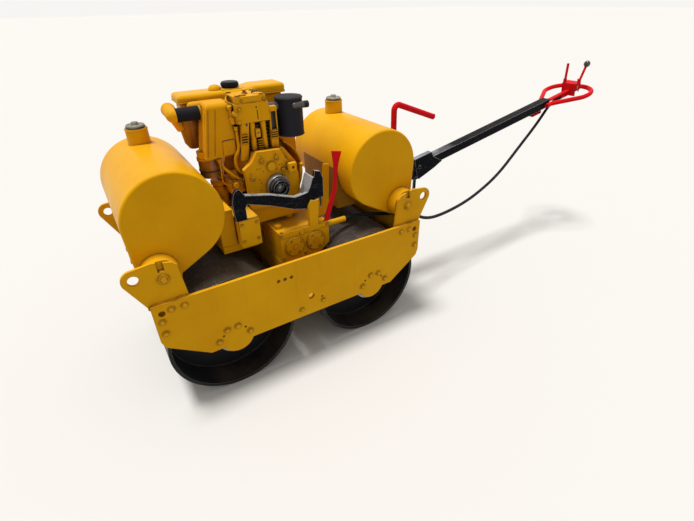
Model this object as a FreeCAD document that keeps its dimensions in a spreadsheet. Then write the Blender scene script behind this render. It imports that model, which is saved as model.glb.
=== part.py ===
import FreeCAD, Part
import math
import os
import Sketcher
from FreeCAD import Placement, Rotation, Vector

# Walk-behind road roller with two smooth steel drums, in millimetres.
# +X is forward, away from the drawbar, +Y is the machine's left, +Z is up.
# The origin is on the ground, midway between the drums.

SIZES = {
    # rolling gear
    "drum_radius": (250, "outer radius of both drums"),
    "drum_width": (600, "length of the drum shells"),
    "drum_wall": (14, "thickness of the drum shells"),
    "drum_web_inset": (110, "from the drum's end to its web"),
    "drum_web_wall": (12, "thickness of the drum webs"),
    "drum_hub_radius": (62, "outer radius of the drum hubs"),
    "drum_hub_length": (90, "length of the drum hubs"),
    "axle_spacing": (624, "distance between the drum axes"),
    "axle_radius": (32, "radius of the stub axles"),
    "axle_reach": (150, "length of the stub axles inside the drums"),
    "axle_flange_radius": (74, "radius of the flanges that hold the stub axles"),
    "axle_flange_wall": (18, "thickness of the axle flanges"),
    "running_gap": (0.08, "radial clearance of the axles in the hubs"),
    "side_gap": (8, "from a drum's end to the side plate"),
    # side plates
    "plate_wall": (15, "thickness of the side plates"),
    "plate_length": (1140, "length of the side plates"),
    "plate_top": (500, "height of the top edge"),
    "plate_end_foot": (355, "height where the upright end stops"),
    "plate_nose_setback": (9, "how far the nose point stands in from the end"),
    "plate_nose_height": (327, "height of the nose point"),
    "plate_sole_length": (836, "length of the straight bottom edge"),
    "plate_bottom": (226, "height of the bottom edge"),
    "plate_boss_radius": (63, "round boss about each axle"),
    "plate_lift_hole_radius": (11, "open holes in the upper corners"),
    "plate_lift_hole_inset": (29, "from the plate's end to the open corner hole"),
    "plate_lift_hole_drop": (33, "from the top edge to the open corner hole"),
    "plate_drain_radius": (14, "round hole between the drums"),
    "plate_drain_height": (314, "height of the round hole between the drums"),
    "plate_drain_shift": (-10, "place of that hole along the plate"),
    "plate_row_height": (437, "height of the row of three small holes"),
    "plate_row_start": (97, "middle of the row of three small holes"),
    "plate_row_pitch": (27, "distance between the small holes"),
    "plate_row_radius": (7, "radius of the small holes"),
    # ear plates in the four corners
    "ear_wall": (12, "thickness of the ear plates"),
    "ear_hole_place": (590, "distance of the tie-down hole from the middle"),
    "ear_hole_height": (608, "height of the tie-down hole"),
    "ear_hole_radius": (17, "radius of the tie-down hole"),
    "ear_ring_radius": (36, "outer radius round the tie-down hole"),
    "ear_slot_width": (20, "width of the open slot over the tank bolt"),
    "ear_slot_depth": (38, "depth of that slot below the ear's top"),
    "ear_peak": (651, "highest corner of the ear plates"),
    "ear_foot": (372, "lowest edge of the ear plates"),
    # water tanks
    "tank_place": (417, "distance of the tank's round from the middle"),
    "tank_seat_gap": (22, "from the end beams up to the tank's foot"),
    "tank_radius": (163, "radius of the tank's round"),
    "tank_foot_shift": (88, "from the tank's round outwards to its foot"),
    "tank_foot_drop": (157, "from the tank's round down to its foot"),
    "tank_foot_radius": (68, "radius of the tank's foot"),
    "tank_length": (492, "length of the tanks across the machine"),
    "tank_edge": (9, "rounding of the tank's end edges"),
    "tank_boss_radius": (62, "radius of the mounting discs on the tank ends"),
    "pocket_front": (-252, "front face of the box under the rear tank"),
    "pocket_end": (148, "half the width of the box under the rear tank"),
    "pocket_foot": (575, "lower face of the box under the rear tank"),
    "pocket_top": (745, "upper face of the box under the rear tank"),
    "neck_place": (-145, "place of the filler necks across the machine"),
    "neck_radius": (41, "radius of the filler necks at the tank"),
    "neck_mouth_radius": (38, "radius of the filler necks at the mouth"),
    "neck_rise": (52, "height of the filler necks over the tanks"),
    "cap_radius": (33, "radius of the filler caps"),
    "cap_wall": (12, "thickness of the filler caps"),
    "cap_knob_radius": (12, "radius of the knob on a filler cap"),
    "cap_knob_height": (9, "height of the knob on a filler cap"),
    # cross beams and scrapers
    "beam_width": (60, "width of the end beams"),
    "beam_depth": (70, "height of the end beams"),
    "beam_top": (495, "height of the end beams' top face"),
    "scraper_wall": (8, "thickness of the scraper blades"),
    "scraper_foot": (352, "height of the scraper blades' lower edge"),
    "scraper_setback": (12, "from the beam's outer face to the blade"),
    "scraper_end_gap": (14, "from the side plate's inner face to the blade"),
    # centre frame and engine bed
    "sill_width": (100, "width of the cross sill between the drums"),
    "sill_foot": (232, "height of the sill's lower face"),
    "sill_depth": (68, "height of the sill"),
    "column_width": (110, "width of the column between the drums"),
    "column_left_end": (200, "left end of the column"),
    "column_right_end": (-260, "right end of the column"),
    "bed_wall": (12, "thickness of the engine bed"),
    "bed_height": (515, "height of the engine bed's lower face"),
    "bed_front": (262, "front edge of the engine bed"),
    "tongue_wall": (30, "thickness of the tongue under the mounting block"),
    "tongue_left_end": (150, "left edge of that tongue"),
    "bed_rear": (-225, "rear edge of the engine bed"),
    "bed_right_end": (-285, "right edge of the engine bed"),
    "bed_left_end": (26, "left edge of the engine bed beside the gearbox"),
    "apron_left_end": (150, "left face of the front apron box"),
    "apron_rear": (196, "rear face of the front apron box"),
    "apron_top": (690, "height of the front apron box"),
    "apron_right_end": (-150, "right face of the front apron box"),
    # gearbox and the mounting block before it
    "gearbox_front": (53, "front face of the gearbox"),
    "gearbox_rear": (-168, "rear face of the gearbox"),
    "gearbox_right_end": (30, "right face of the gearbox"),
    "gearbox_left_end": (208, "left face of the gearbox"),
    "gearbox_top": (562, "height of the gearbox"),
    "gearbox_foot": (434, "height of the gearbox's lower face"),
    "gearbox_cut_length": (44, "length of the slant that clears the rear drum"),
    "gearbox_cut_height": (32, "height of the slant that clears the rear drum"),
    "gearbox_cover_radius": (42, "radius of the bearing covers"),
    "gearbox_cover_wall": (7, "how far the bearing covers stand out"),
    "gearbox_cover_height": (494, "height of the bearing covers"),
    "gearbox_cover_front": (-7, "place of the front bearing cover"),
    "gearbox_cover_rear": (-103, "place of the rear bearing cover"),
    "block_front": (201, "front face of the mounting block"),
    "block_rear": (121, "rear face of the mounting block"),
    "block_left_end": (196, "left face of the mounting block"),
    "block_right_end": (40, "right face of the mounting block"),
    "block_top": (656, "height of the mounting block"),
    # engine
    "crank_place": (4, "place of the crankshaft"),
    "crank_height": (728, "height of the crankshaft"),
    "crankcase_front": (110, "front face of the crankcase"),
    "crankcase_rear": (-95, "rear face of the crankcase"),
    "crankcase_left_end": (96, "left face of the crankcase"),
    "crankcase_right_end": (-60, "right face of the crankcase"),
    "crankcase_foot": (580, "height of the crankcase's lower face"),
    "crankcase_top": (862, "height of the crankcase's upper face"),
    "engine_foot_wall": (53, "height of the engine's feet"),
    "cover_wall": (22, "thickness of the timing cover"),
    "crank_ring_radius": (46, "outer radius of the ring round the crank end"),
    "crank_ring_length": (22, "how far that ring stands out"),
    "crank_end_radius": (32, "radius of the crank end"),
    "crank_end_length": (44, "how far the crank end stands out"),
    "fan_radius": (150, "radius of the fan housing"),
    "fan_height": (745, "height of the fan housing's middle"),
    "fan_right_end": (-190, "right face of the fan housing"),
    "fan_gap": (0.3, "from the crankcase to the fan housing"),
    "shroud_wall": (6, "thickness of the curved shroud"),
    "shroud_left_end": (45, "left edge of the curved shroud"),
    "cylinder_front": (98, "front of the cooling fins"),
    "cylinder_rear": (-48, "rear of the cooling fins"),
    "cylinder_left_end": (58, "left of the cooling fins"),
    "cylinder_right_end": (-58, "right of the cooling fins"),
    "cylinder_top": (968, "height of the cylinder"),
    "fin_pitch": (13, "distance between the cooling fins"),
    "fin_wall": (5, "thickness of the cooling fins"),
    "fin_depth": (14, "depth of the cooling fins"),
    "head_front": (114, "front of the cylinder head"),
    "head_rear": (-12, "rear of the cylinder head"),
    "head_left_end": (80, "left face of the cylinder head"),
    "head_right_end": (-46, "right face of the cylinder head"),
    "head_top": (1034, "height of the cylinder head"),
    "rocker_top": (1057, "height of the rocker cover"),
    "rocker_inset": (6, "how far the rocker cover stands in"),
    "pushrod_radius": (11, "radius of the push-rod tubes"),
    "pushrod_line": (67, "place of the push-rod tubes across the machine"),
    "pushrod_front": (57, "place of the front push-rod tube"),
    "pushrod_rear": (14, "place of the rear push-rod tube"),
    "duct_front": (104, "front of the cooling duct"),
    "duct_rear": (-50, "rear of the cooling duct"),
    "duct_foot": (888, "lower face of the cooling duct"),
    "duct_top": (985, "upper face of the cooling duct"),
    "cowl_rear": (114, "rear face of the cooling cowl"),
    "cowl_front_top": (204, "front face of the cowl at its top"),
    "cowl_front_foot": (238, "front face of the cowl at its foot"),
    "cowl_foot": (852, "height of the cowl's lower face"),
    "cowl_height": (190, "height of the cowl over its lower face"),
    "cowl_left_end": (52, "left face of the cowl"),
    "cowl_right_end": (-44, "right face of the cowl"),
    "cowl_edge": (18, "rounding of the cowl's edges"),
    "bowl_radius": (41, "radius of the oil bowl under the cowl"),
    "bowl_place": (213, "place of the oil bowl"),
    "bowl_line": (-8, "place of the oil bowl across the machine"),
    "bowl_depth": (76, "height of the oil bowl"),
    "cleaner_radius": (46, "radius of the air cleaner at its top"),
    "cleaner_waist_radius": (32, "radius of the air cleaner at its waist"),
    "cleaner_foot_radius": (18, "radius of the air cleaner's foot"),
    "cleaner_place": (236, "place of the air cleaner"),
    "cleaner_line": (-98, "place of the air cleaner across the machine"),
    "cleaner_top": (980, "height of the air cleaner's top"),
    "cleaner_waist": (886, "height of the air cleaner's waist"),
    "cleaner_foot": (864, "height of the air cleaner's foot"),
    "hose_radius": (20, "radius of the intake hose"),
    "hose_line": (-18, "place of the intake hose across the machine"),
    "hose_drop": (36, "from the cowl's upper face down to the intake hose"),
    "elbow_radius": (23, "radius of the intake elbow's tube"),
    "elbow_start": (281, "where the intake elbow starts"),
    "elbow_place": (305, "place of the elbow's cross leg"),
    "elbow_line": (-74, "place of the elbow's rear end across the machine"),
    "elbow_rise": (10, "rise of the elbow's cross leg"),
    "elbow_inlet_radius": (19, "radius of the pipe from elbow to air cleaner"),
    "elbow_inlet_height": (944, "height where that pipe enters the air cleaner"),
    "fuel_front": (266, "front of the fuel tank"),
    "fuel_rear": (-155, "rear of the fuel tank"),
    "fuel_left_end": (-76, "left side of the fuel tank"),
    "fuel_right_end": (-188, "right side of the fuel tank"),
    "fuel_seam": (1030, "height of the fuel tank's seam"),
    "fuel_top": (1056, "upper face of the fuel tank"),
    "fuel_edge": (16, "rounding of the fuel tank"),
    "fuel_inset": (9, "how far the tank's lower half stands in"),
    "fuel_hump_front": (-10, "front of the raised end of the fuel tank"),
    "fuel_hump_height": (7, "height of the raised end of the fuel tank"),
    "fuel_cap_place": (53, "place of the fuel cap"),
    "fuel_cap_line": (-130, "place of the fuel cap across the machine"),
    "fuel_cap_radius": (33, "radius of the fuel cap"),
    "fuel_cap_height": (25, "height of the fuel cap"),
    "fuel_dome_place": (113, "place of the small dome on the fuel tank"),
    "fuel_dome_radius": (24, "radius of the small dome on the fuel tank"),
    "fuel_dome_height": (20, "height of the small dome on the fuel tank"),
    "silencer_radius": (53, "radius of the silencer"),
    "silencer_place": (-118, "place of the silencer"),
    "silencer_line": (20, "place of the silencer across the machine"),
    "silencer_foot": (888, "height of the silencer's lower end"),
    "silencer_top": (1031, "height of the silencer's upper end"),
    "exhaust_radius": (17, "radius of the pipe into the silencer"),
    "exhaust_height": (1000, "height of the pipe into the silencer"),
    "outlet_radius": (12, "radius of the silencer's outlet"),
    "outlet_length": (56, "length of the silencer's outlet"),
    "outlet_height": (1004, "height of the silencer's outlet"),
    # levers and guard
    "guard_wall": (14, "thickness of the guard bar"),
    "guard_line": (186, "place of the guard bar across the machine"),
    "guard_depth": (43, "height of the guard bar"),
    "guard_post_gap": (0.3, "gap between the guard bar and its post on the gearbox"),
    "guard_rest_width": (70, "width of the plate on the guard bar's rear slope"),
    "lever_radius": (9, "half thickness of the shift lever"),
    "lever_line": (196, "place of the shift lever across the machine"),
    "lever_place": (-154, "front edge of the shift lever's foot"),
    "gate_front": (-128, "front edge of the lever gate's plate"),
    "gate_line": (145, "place of the lever gate across the machine"),
    "gate_wall": (10, "thickness of the lever gate's plate"),
    "gate_stub_top": (636, "height of the lever gate's front stub"),
    "gate_top": (785, "height of the lever gate's tall bar"),
    "crank_tube_radius": (13, "radius of the stored starting crank"),
    "crank_tube_place": (-618, "place of the stored starting crank"),
    "crank_tube_line": (60, "place of the stored crank across the machine"),
    "crank_tube_foot": (430, "height of the stored crank's lower end"),
    "crank_tube_top": (952, "height of the stored crank's bend"),
    "crank_tube_lean": (14, "forward lean of the stored crank at its bend"),
    "crank_arm_length": (238, "length of the stored crank's arm"),
    "crank_arm_drop": (90, "drop of the stored crank's arm"),
    "crank_tube_bend": (22, "bend radius of the stored crank"),
    "crank_socket_height": (60, "height of the crank's socket"),
    "crank_socket_wall": (5, "wall of the crank's socket beside the crank"),
    # drawbar and handle, drawn level about the hinge pin and then tilted
    "pin_place": (-801, "place of the drawbar's hinge pin"),
    "pin_height": (616.5, "height of the drawbar's hinge pin"),
    "pin_radius": (10, "radius of the hinge pin"),
    "pin_gap": (0.08, "radial clearance of the hinge pin"),
    "bar_tilt": (11.3, "rise of the drawbar in degrees"),
    "bar_width": (50, "width of the drawbar's tube"),
    "bar_depth": (42, "height of the drawbar's tube"),
    "bar_front": (-32, "where the tube starts behind the pin"),
    "bar_rear": (-1010, "where the tube ends behind the pin"),
    "bar_lift": (-9, "height of the tube's middle over the pin"),
    "gusset_wall": (6, "thickness of the gussets beside the tube"),
    "gusset_peak": (45, "height of the left gusset over the pin"),
    "flange_width": (21, "width of the flange on the left gusset"),
    "clevis_gap": (2, "side gap between gussets and bracket"),
    "bracket_wall": (8, "thickness of the bracket's side plates"),
    "bracket_boss_radius": (24, "radius of the bracket round the pin"),
    "bracket_strut_width": (15, "width of the bracket's upright struts"),
    "stop_radius": (8, "radius of the rod that the drawbar rests against"),
    "stop_gap": (0.3, "from that rod to the gussets of the parked drawbar"),
    "loop_radius": (12.5, "radius of the handle's tube"),
    "loop_length": (310, "length of the handle loop behind the tube's end"),
    "loop_half_width": (130, "half width of the handle loop"),
    "lever_box_front": (-1213, "place of the lever box's front plate behind the pin"),
    "lever_box_length": (52, "length of the lever box"),
    "lever_box_width": (86, "width of the lever box"),
    "lever_box_top": (36, "height of the lever box over the pin"),
    "lever_box_foot": (-8, "height of the lever box's lower face over the pin"),
    "lever_box_sill": (-34, "height of the front plate's lower edge over the pin"),
    "guide_length": (72, "length of the cable guide on the lever box"),
    "cable_radius": (8, "radius of the control cable"),
    "cable_sleeve_radius": (12, "radius of the sleeve that the cable leaves from"),
}


class Size:
    """A length of the sheet, or one worked out from it: its number and its expression."""

    def __init__(self, number, text):
        self.number = float(number)
        self.text = text

    def __float__(self):
        return self.number

    def __add__(self, other):
        return Size(self.number + float(other), f"({self.text} + {text_of(other)})")

    def __radd__(self, other):
        return Size(float(other) + self.number, f"({text_of(other)} + {self.text})")

    def __sub__(self, other):
        return Size(self.number - float(other), f"({self.text} - {text_of(other)})")

    def __rsub__(self, other):
        return Size(float(other) - self.number, f"({text_of(other)} - {self.text})")

    def __mul__(self, other):
        return Size(self.number * float(other), f"({self.text} * {text_of(other)})")

    __rmul__ = __mul__

    def __truediv__(self, other):
        return Size(self.number / float(other), f"({self.text} / {text_of(other)})")

    def __neg__(self):
        return Size(-self.number, f"(-1 * {self.text})")


def text_of(value):
    return value.text if isinstance(value, Size) else repr(float(value))


def make_sheet():
    """The driving dimensions as a spreadsheet, and a Size for each of them."""
    sheet = doc.addObject("Spreadsheet::Sheet", "Sizes")
    for row, (alias, (number, meaning)) in enumerate(SIZES.items(), start=1):
        sheet.set(f"A{row}", alias)
        sheet.set(f"B{row}", str(number))
        sheet.set(f"C{row}", meaning)
        sheet.setAlias(f"B{row}", alias)
    doc.recompute()
    return {alias: Size(sheet.get(alias), f"Sizes.{alias}") for alias in SIZES}


doc = FreeCAD.newDocument("Roller")
SHEET = make_sheet()


def size(name):
    return SHEET[name]


# Helpers that make bound objects

def bind(thing, name, value):
    """Set a property to a Size and keep it bound to the sheet."""
    if isinstance(value, Size):
        thing.setExpression(name, value.text)
    else:
        setattr(thing, name, value)


def place(thing, base, axis=None, angle=0.0):
    """Move an object to a base of three Sizes or numbers, turned about an axis."""
    turn = Rotation(Vector(*axis), float(angle)) if axis else Rotation()
    thing.Placement = Placement(Vector(*[float(value) for value in base]), turn)
    for letter, value in zip("xyz", base):
        if isinstance(value, Size):
            thing.setExpression(f"Placement.Base.{letter}", value.text)
    if isinstance(angle, Size):
        thing.setExpression("Placement.Rotation.Angle", angle.text)


def fix_point(sketch, rules, geometry, corner, x, y):
    """Hold a sketch point at two Sizes or numbers from the sketch's origin."""
    for kind, axis, value in (("DistanceX", -2, x), ("DistanceY", -1, y)):
        if abs(float(value)) < 1e-9:
            rules.append((Sketcher.Constraint("PointOnObject", geometry, corner, axis), None))
        else:
            rule = Sketcher.Constraint(kind, -1, 1, geometry, corner, float(value))
            rules.append((rule, value))


def add_rules(sketch, rules):
    """Add the constraints at once, and bind the named ones to the sheet."""
    first = len(sketch.Constraints)
    sketch.addConstraint([rule for rule, value in rules])
    for index, (rule, value) in enumerate(rules, start=first):
        if isinstance(value, Size):
            sketch.renameConstraint(index, f"size_{index}")
            sketch.setExpression(f"Constraints.size_{index}", value.text)


def new_sketch(body, name, role="XZ_Plane"):
    sketch = body.newObject("Sketcher::SketchObject", name)
    plane = [feature for feature in body.Origin.OriginFeatures if feature.Role == role][0]
    sketch.AttachmentSupport = [(plane, "")]
    sketch.MapMode = "FlatFace"
    return sketch


def draw_polygon(sketch, corners):
    """A closed outline through corners given as pairs of Sizes or numbers."""
    start = len(sketch.Geometry)
    count = len(corners)
    spots = [Vector(float(x), float(y), 0) for x, y in corners]
    lines = [Part.LineSegment(spots[i], spots[(i + 1) % count]) for i in range(count)]
    sketch.addGeometry(lines, False)
    rules = []
    for i in range(count):
        follower = start + (i + 1) % count
        rules.append((Sketcher.Constraint("Coincident", start + i, 2, follower, 1), None))
    for i, (x, y) in enumerate(corners):
        fix_point(sketch, rules, start + i, 1, x, y)
    add_rules(sketch, rules)


def draw_circles(sketch, circles):
    """Circles given as rows of x, y and radius."""
    for x, y, radius in circles:
        index = len(sketch.Geometry)
        middle = Vector(float(x), float(y), 0)
        sketch.addGeometry(Part.Circle(middle, Vector(0, 0, 1), float(radius)), False)
        rules = [(Sketcher.Constraint("Radius", index, float(radius)), radius)]
        fix_point(sketch, rules, index, 3, x, y)
        add_rules(sketch, rules)


def draw_belt(sketch, big, small):
    """Two circles wrapped by a tight belt: each given as x, y and radius."""
    (x1, y1, r1), (x2, y2, r2) = [[float(value) for value in circle] for circle in (big, small)]
    along = math.atan2(y2 - y1, x2 - x1)
    lean = math.acos((r1 - r2) / math.hypot(x2 - x1, y2 - y1))
    start = len(sketch.Geometry)
    touch = []
    for angle in (along + lean, along - lean):
        direction = Vector(math.cos(angle), math.sin(angle), 0)
        touch.append((Vector(x1, y1, 0) + direction * r1, Vector(x2, y2, 0) + direction * r2))
    round_big = Part.Circle(Vector(x1, y1, 0), Vector(0, 0, 1), r1)
    round_small = Part.Circle(Vector(x2, y2, 0), Vector(0, 0, 1), r2)
    sketch.addGeometry([
        Part.ArcOfCircle(round_big, along + lean, along - lean + 2 * math.pi),
        Part.LineSegment(touch[1][0], touch[1][1]),
        Part.ArcOfCircle(round_small, along - lean, along + lean),
        Part.LineSegment(touch[0][1], touch[0][0]),
    ], False)
    rules = []
    for index in range(4):
        follower = start + (index + 1) % 4
        rules.append((Sketcher.Constraint("Tangent", start + index, 2, follower, 1), None))
    for index, circle in ((start, big), (start + 2, small)):
        rules.append((Sketcher.Constraint("Radius", index, float(circle[2])), circle[2]))
        fix_point(sketch, rules, index, 3, circle[0], circle[1])
    add_rules(sketch, rules)


def pad_both_ways(body, sketch, name, length):
    pad = body.newObject("PartDesign::Pad", name)
    pad.Profile = sketch
    pad.Midplane = True
    bind(pad, "Length", length)
    sketch.Visibility = False
    return pad


def prism(name, ends, corners=None, belt=None, bosses=(), holes=(), slots=()):
    """A plate or block: an outline in the XZ plane that reaches from ends[0] to ends[1]."""
    low, high = ends
    body = doc.addObject("PartDesign::Body", name)
    sketch = new_sketch(body, name + "_outline")
    if corners:
        draw_polygon(sketch, corners)
    if belt:
        draw_belt(sketch, *belt)
    pad_both_ways(body, sketch, name + "_pad", high - low)
    if bosses:
        sketch = new_sketch(body, name + "_bosses")
        draw_circles(sketch, bosses)
        pad_both_ways(body, sketch, name + "_boss_pad", high - low)
    if holes or slots:
        sketch = new_sketch(body, name + "_openings")
        draw_circles(sketch, holes)
        for slot in slots:
            draw_polygon(sketch, slot)
        pocket = body.newObject("PartDesign::Pocket", name + "_pocket")
        pocket.Profile = sketch
        pocket.Type = "ThroughAll"
        pocket.Midplane = True
    place(body, (0, (low + high) / 2, 0))
    doc.recompute()
    return body


def round_edges(body, name, radius, chosen):
    """Round those edges of a body that the chosen function picks."""
    base = body.Tip
    shape = base.Shape
    names = [f"Edge{i}" for i, edge in enumerate(shape.Edges, start=1) if chosen(edge)]
    fillet = body.newObject("PartDesign::Fillet", name)
    fillet.Base = (base, names)
    bind(fillet, "Radius", radius)
    doc.recompute()
    return body


def box(name, low, high):
    """A Part box between two corners."""
    thing = doc.addObject("Part::Box", name)
    for side, start, end in zip(("Length", "Width", "Height"), low, high):
        bind(thing, side, end - start)
    place(thing, low)
    return thing


AXIS_TURN = {"X": ((0, 1, 0), 90), "Y": ((1, 0, 0), -90), "Z": ((0, 0, 1), 0)}


def rod(name, axis, base, radius, length, top_radius=None):
    """A Part cylinder, or a cone, that runs from its base along +X, +Y or +Z."""
    thing = doc.addObject("Part::Cone" if top_radius else "Part::Cylinder", name)
    if top_radius:
        bind(thing, "Radius1", radius)
        bind(thing, "Radius2", top_radius)
    else:
        bind(thing, "Radius", radius)
    bind(thing, "Height", length)
    turn, angle = AXIS_TURN[axis]
    place(thing, base, turn, angle)
    return thing


def slanted_rod(name, start, end, radius):
    """A Part cylinder between two points of Sizes or numbers."""
    spots = [Vector(*[float(value) for value in point]) for point in (start, end)]
    thing = doc.addObject("Part::Cylinder", name)
    bind(thing, "Radius", radius)
    thing.Height = (spots[1] - spots[0]).Length
    thing.Placement = Placement(spots[0], Rotation(Vector(0, 0, 1), spots[1] - spots[0]))
    return thing


def ball(name, middle, radius):
    """A Part sphere about a point."""
    thing = doc.addObject("Part::Sphere", name)
    bind(thing, "Radius", radius)
    place(thing, middle)
    return thing


def fuse(name, pieces):
    thing = doc.addObject("Part::MultiFuse", name)
    thing.Shapes = pieces
    return thing


def cut(name, base, tool):
    thing = doc.addObject("Part::Cut", name)
    thing.Base = base
    thing.Tool = tool
    return thing


def rounded_path(points, radii):
    """Straight runs joined by tangent arcs, one radius for each inner point."""
    spots = [Vector(*[float(value) for value in point]) for point in points]
    edges = []
    start = spots[0]
    for before, corner, after, radius in zip(spots, spots[1:], spots[2:], radii):
        incoming = (corner - before).normalize()
        outgoing = (after - corner).normalize()
        turn = incoming.getAngle(outgoing)
        reach = float(radius) * math.tan(turn / 2)
        arc_start = corner - incoming * reach
        arc_end = corner + outgoing * reach
        inward = (outgoing - incoming).normalize()
        sagitta = float(radius) / math.cos(turn / 2) - float(radius)
        if (arc_start - start).Length > 1e-6:
            edges.append(Part.LineSegment(start, arc_start).toShape())
        edges.append(Part.Arc(arc_start, corner + inward * sagitta, arc_end).toShape())
        start = arc_end
    edges.append(Part.LineSegment(start, spots[-1]).toShape())
    return Part.Wire(edges)


def tube_along(path, radius):
    """A round solid along a wire of runs and arcs."""
    first = path.Edges[0]
    origin = first.valueAt(first.FirstParameter)
    direction = first.tangentAt(first.FirstParameter)
    ring = Part.Wire([Part.Circle(origin, direction, float(radius)).toShape()])
    return path.makePipeShell([ring], True, True)


def piece(name, shape):
    """A Part feature for a shape made with Part's own functions."""
    thing = doc.addObject("Part::Feature", name)
    thing.Shape = shape
    return thing


# Places that several pieces share

axle_place = size("axle_spacing") / 2
axle_height = size("drum_radius")
drum_end = size("drum_width") / 2
plate_inside = drum_end + size("side_gap")
plate_outside = plate_inside + size("plate_wall")
ear_inside = plate_inside - size("ear_wall")
plate_end = size("plate_length") / 2
beam_foot = size("beam_top") - size("beam_depth")
bed_top = size("bed_height") + size("bed_wall")
tongue_top = size("bed_height") + size("tongue_wall")
tank_end = size("tank_length") / 2
tank_foot_x = size("tank_place") + size("tank_foot_shift")
tank_foot_z = size("beam_top") + size("tank_seat_gap") + size("tank_foot_radius")
tank_height = tank_foot_z + size("tank_foot_drop")
neck_top = tank_height + size("tank_radius") + size("neck_rise")
cover_face = size("crankcase_left_end") + size("cover_wall")
cowl_top = size("cowl_foot") + size("cowl_height")
hose_height = cowl_top - size("hose_drop")


def both_ends(low, high, side):
    """Ends along Y of a piece that stands on the left, or mirrored on the right."""
    return (low, high) if side > 0 else (-high, -low)


# Rolling gear

def make_drum(name, way):
    """An open-ended steel shell with a web and a bored hub near each end."""
    place_x = way * axle_place
    shell = rod(name + "_shell", "Y", (place_x, -drum_end, axle_height),
                size("drum_radius"), size("drum_width"))
    hollow = rod(name + "_hollow", "Y", (place_x, -drum_end, axle_height),
                 size("drum_radius") - size("drum_wall"), size("drum_width"))
    wall = cut(name + "_wall", shell, hollow)
    web_outside = drum_end - size("drum_web_inset")
    hub_outside = web_outside + size("drum_hub_length") / 4
    pieces = [wall]
    bores = []
    for side, label in ((1, "left"), (-1, "right")):
        web_low, web_high = both_ends(web_outside - size("drum_web_wall"), web_outside, side)
        hub_low, hub_high = both_ends(hub_outside - size("drum_hub_length"), hub_outside, side)
        web_radius = size("drum_radius") - size("drum_wall") / 2
        pieces.append(rod(f"{name}_{label}_web", "Y", (place_x, web_low, axle_height),
                          web_radius, size("drum_web_wall")))
        pieces.append(rod(f"{name}_{label}_hub", "Y", (place_x, hub_low, axle_height),
                          size("drum_hub_radius"), size("drum_hub_length")))
        bores.append(rod(f"{name}_{label}_bore", "Y", (place_x, hub_low, axle_height),
                         size("axle_radius") + size("running_gap"), size("drum_hub_length")))
    solid = fuse(name + "_solid", pieces)
    return cut(name, solid, fuse(name + "_bores", bores))


def make_axle(name, way, side):
    """A stub axle on a round flange that is bolted inside the side plate."""
    flange_low, flange_high = both_ends(plate_inside - size("axle_flange_wall"), plate_inside, side)
    stub_low, stub_high = both_ends(plate_inside - size("axle_reach"), plate_inside, side)
    flange = rod(name + "_flange", "Y", (way * axle_place, flange_low, axle_height),
                 size("axle_flange_radius"), size("axle_flange_wall"))
    stub = rod(name + "_stub", "Y", (way * axle_place, stub_low, axle_height),
               size("axle_radius"), size("axle_reach"))
    return fuse(name, [flange, stub])


# Frame

def make_side_plate(name, side):
    """The long side plate with a round boss under each axle and its open holes."""
    nose = plate_end - size("plate_nose_setback")
    sole = size("plate_sole_length") / 2
    half = [
        (plate_end, size("plate_top")),
        (plate_end, size("plate_end_foot")),
        (nose, size("plate_nose_height")),
        (sole, size("plate_bottom")),
    ]
    mirrored = [(-x, z) for x, z in reversed(half)]
    hole_x = plate_end - size("plate_lift_hole_inset")
    hole_z = size("plate_top") - size("plate_lift_hole_drop")
    holes = [(way * hole_x, hole_z, size("plate_lift_hole_radius")) for way in (1, -1)]
    holes.append((size("plate_drain_shift"), size("plate_drain_height"),
                  size("plate_drain_radius")))
    for step in (-1, 0, 1):
        holes.append((size("plate_row_start") + step * size("plate_row_pitch"),
                      size("plate_row_height"), size("plate_row_radius")))
    bosses = [(way * axle_place, axle_height, size("plate_boss_radius")) for way in (1, -1)]
    ends = both_ends(plate_inside, plate_outside, side)
    return prism(name, ends, corners=half + mirrored, bosses=bosses, holes=holes)


def make_ear_plate(name, way, side):
    """A corner plate with a tie-down hole and an open slot for the tank bolt."""
    ring_x = size("ear_hole_place")
    ring_z = size("ear_hole_height")
    ring = size("ear_ring_radius")
    peak = size("ear_peak")
    corners = [
        (tank_foot_x - 65, size("plate_top") - 15),
        (tank_foot_x - 52, peak - 30), (tank_foot_x - 37, peak - 15), (tank_foot_x + 23, peak),
        (ring_x, ring_z + ring),
        (ring_x + 0.89 * ring, ring_z - 0.45 * ring),
        (plate_end - 3, size("plate_top") - 20),
        (plate_end - 3, size("ear_foot")),
        (plate_end - 28, size("ear_foot")),
        (plate_end - 50, size("plate_top") - 60),
    ]
    half = size("ear_slot_width") / 2
    slot_foot = peak - size("ear_slot_depth")
    slot = [(tank_foot_x - half, slot_foot), (tank_foot_x + half, slot_foot),
            (tank_foot_x + half, peak + 10), (tank_foot_x - half, peak + 10)]
    ends = both_ends(ear_inside, plate_inside, side)
    return prism(name, ends,
                 corners=[(way * x, z) for x, z in corners],
                 bosses=[(way * ring_x, ring_z, ring)],
                 holes=[(way * ring_x, ring_z, size("ear_hole_radius"))],
                 slots=[[(way * x, z) for x, z in slot]])


def make_beam(name, way):
    """The box beam between the ear plates, with the scraper blade that hangs close to the drum."""
    outer = plate_end - 2
    low, high = sorted((way * (outer - size("beam_width")), way * outer), key=float)
    beam = box(name + "_box", (low, -ear_inside, beam_foot), (high, ear_inside, size("beam_top")))
    outer = outer - size("scraper_setback")
    low, high = sorted((way * (outer - size("scraper_wall")), way * outer), key=float)
    half = ear_inside - size("scraper_end_gap")
    blade = box(name + "_blade", (low, -half, size("scraper_foot")), (high, half, beam_foot))
    pieces = [beam, blade]
    if way < 0:
        pieces.append(make_crank_socket())
    return fuse(name, pieces)


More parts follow.
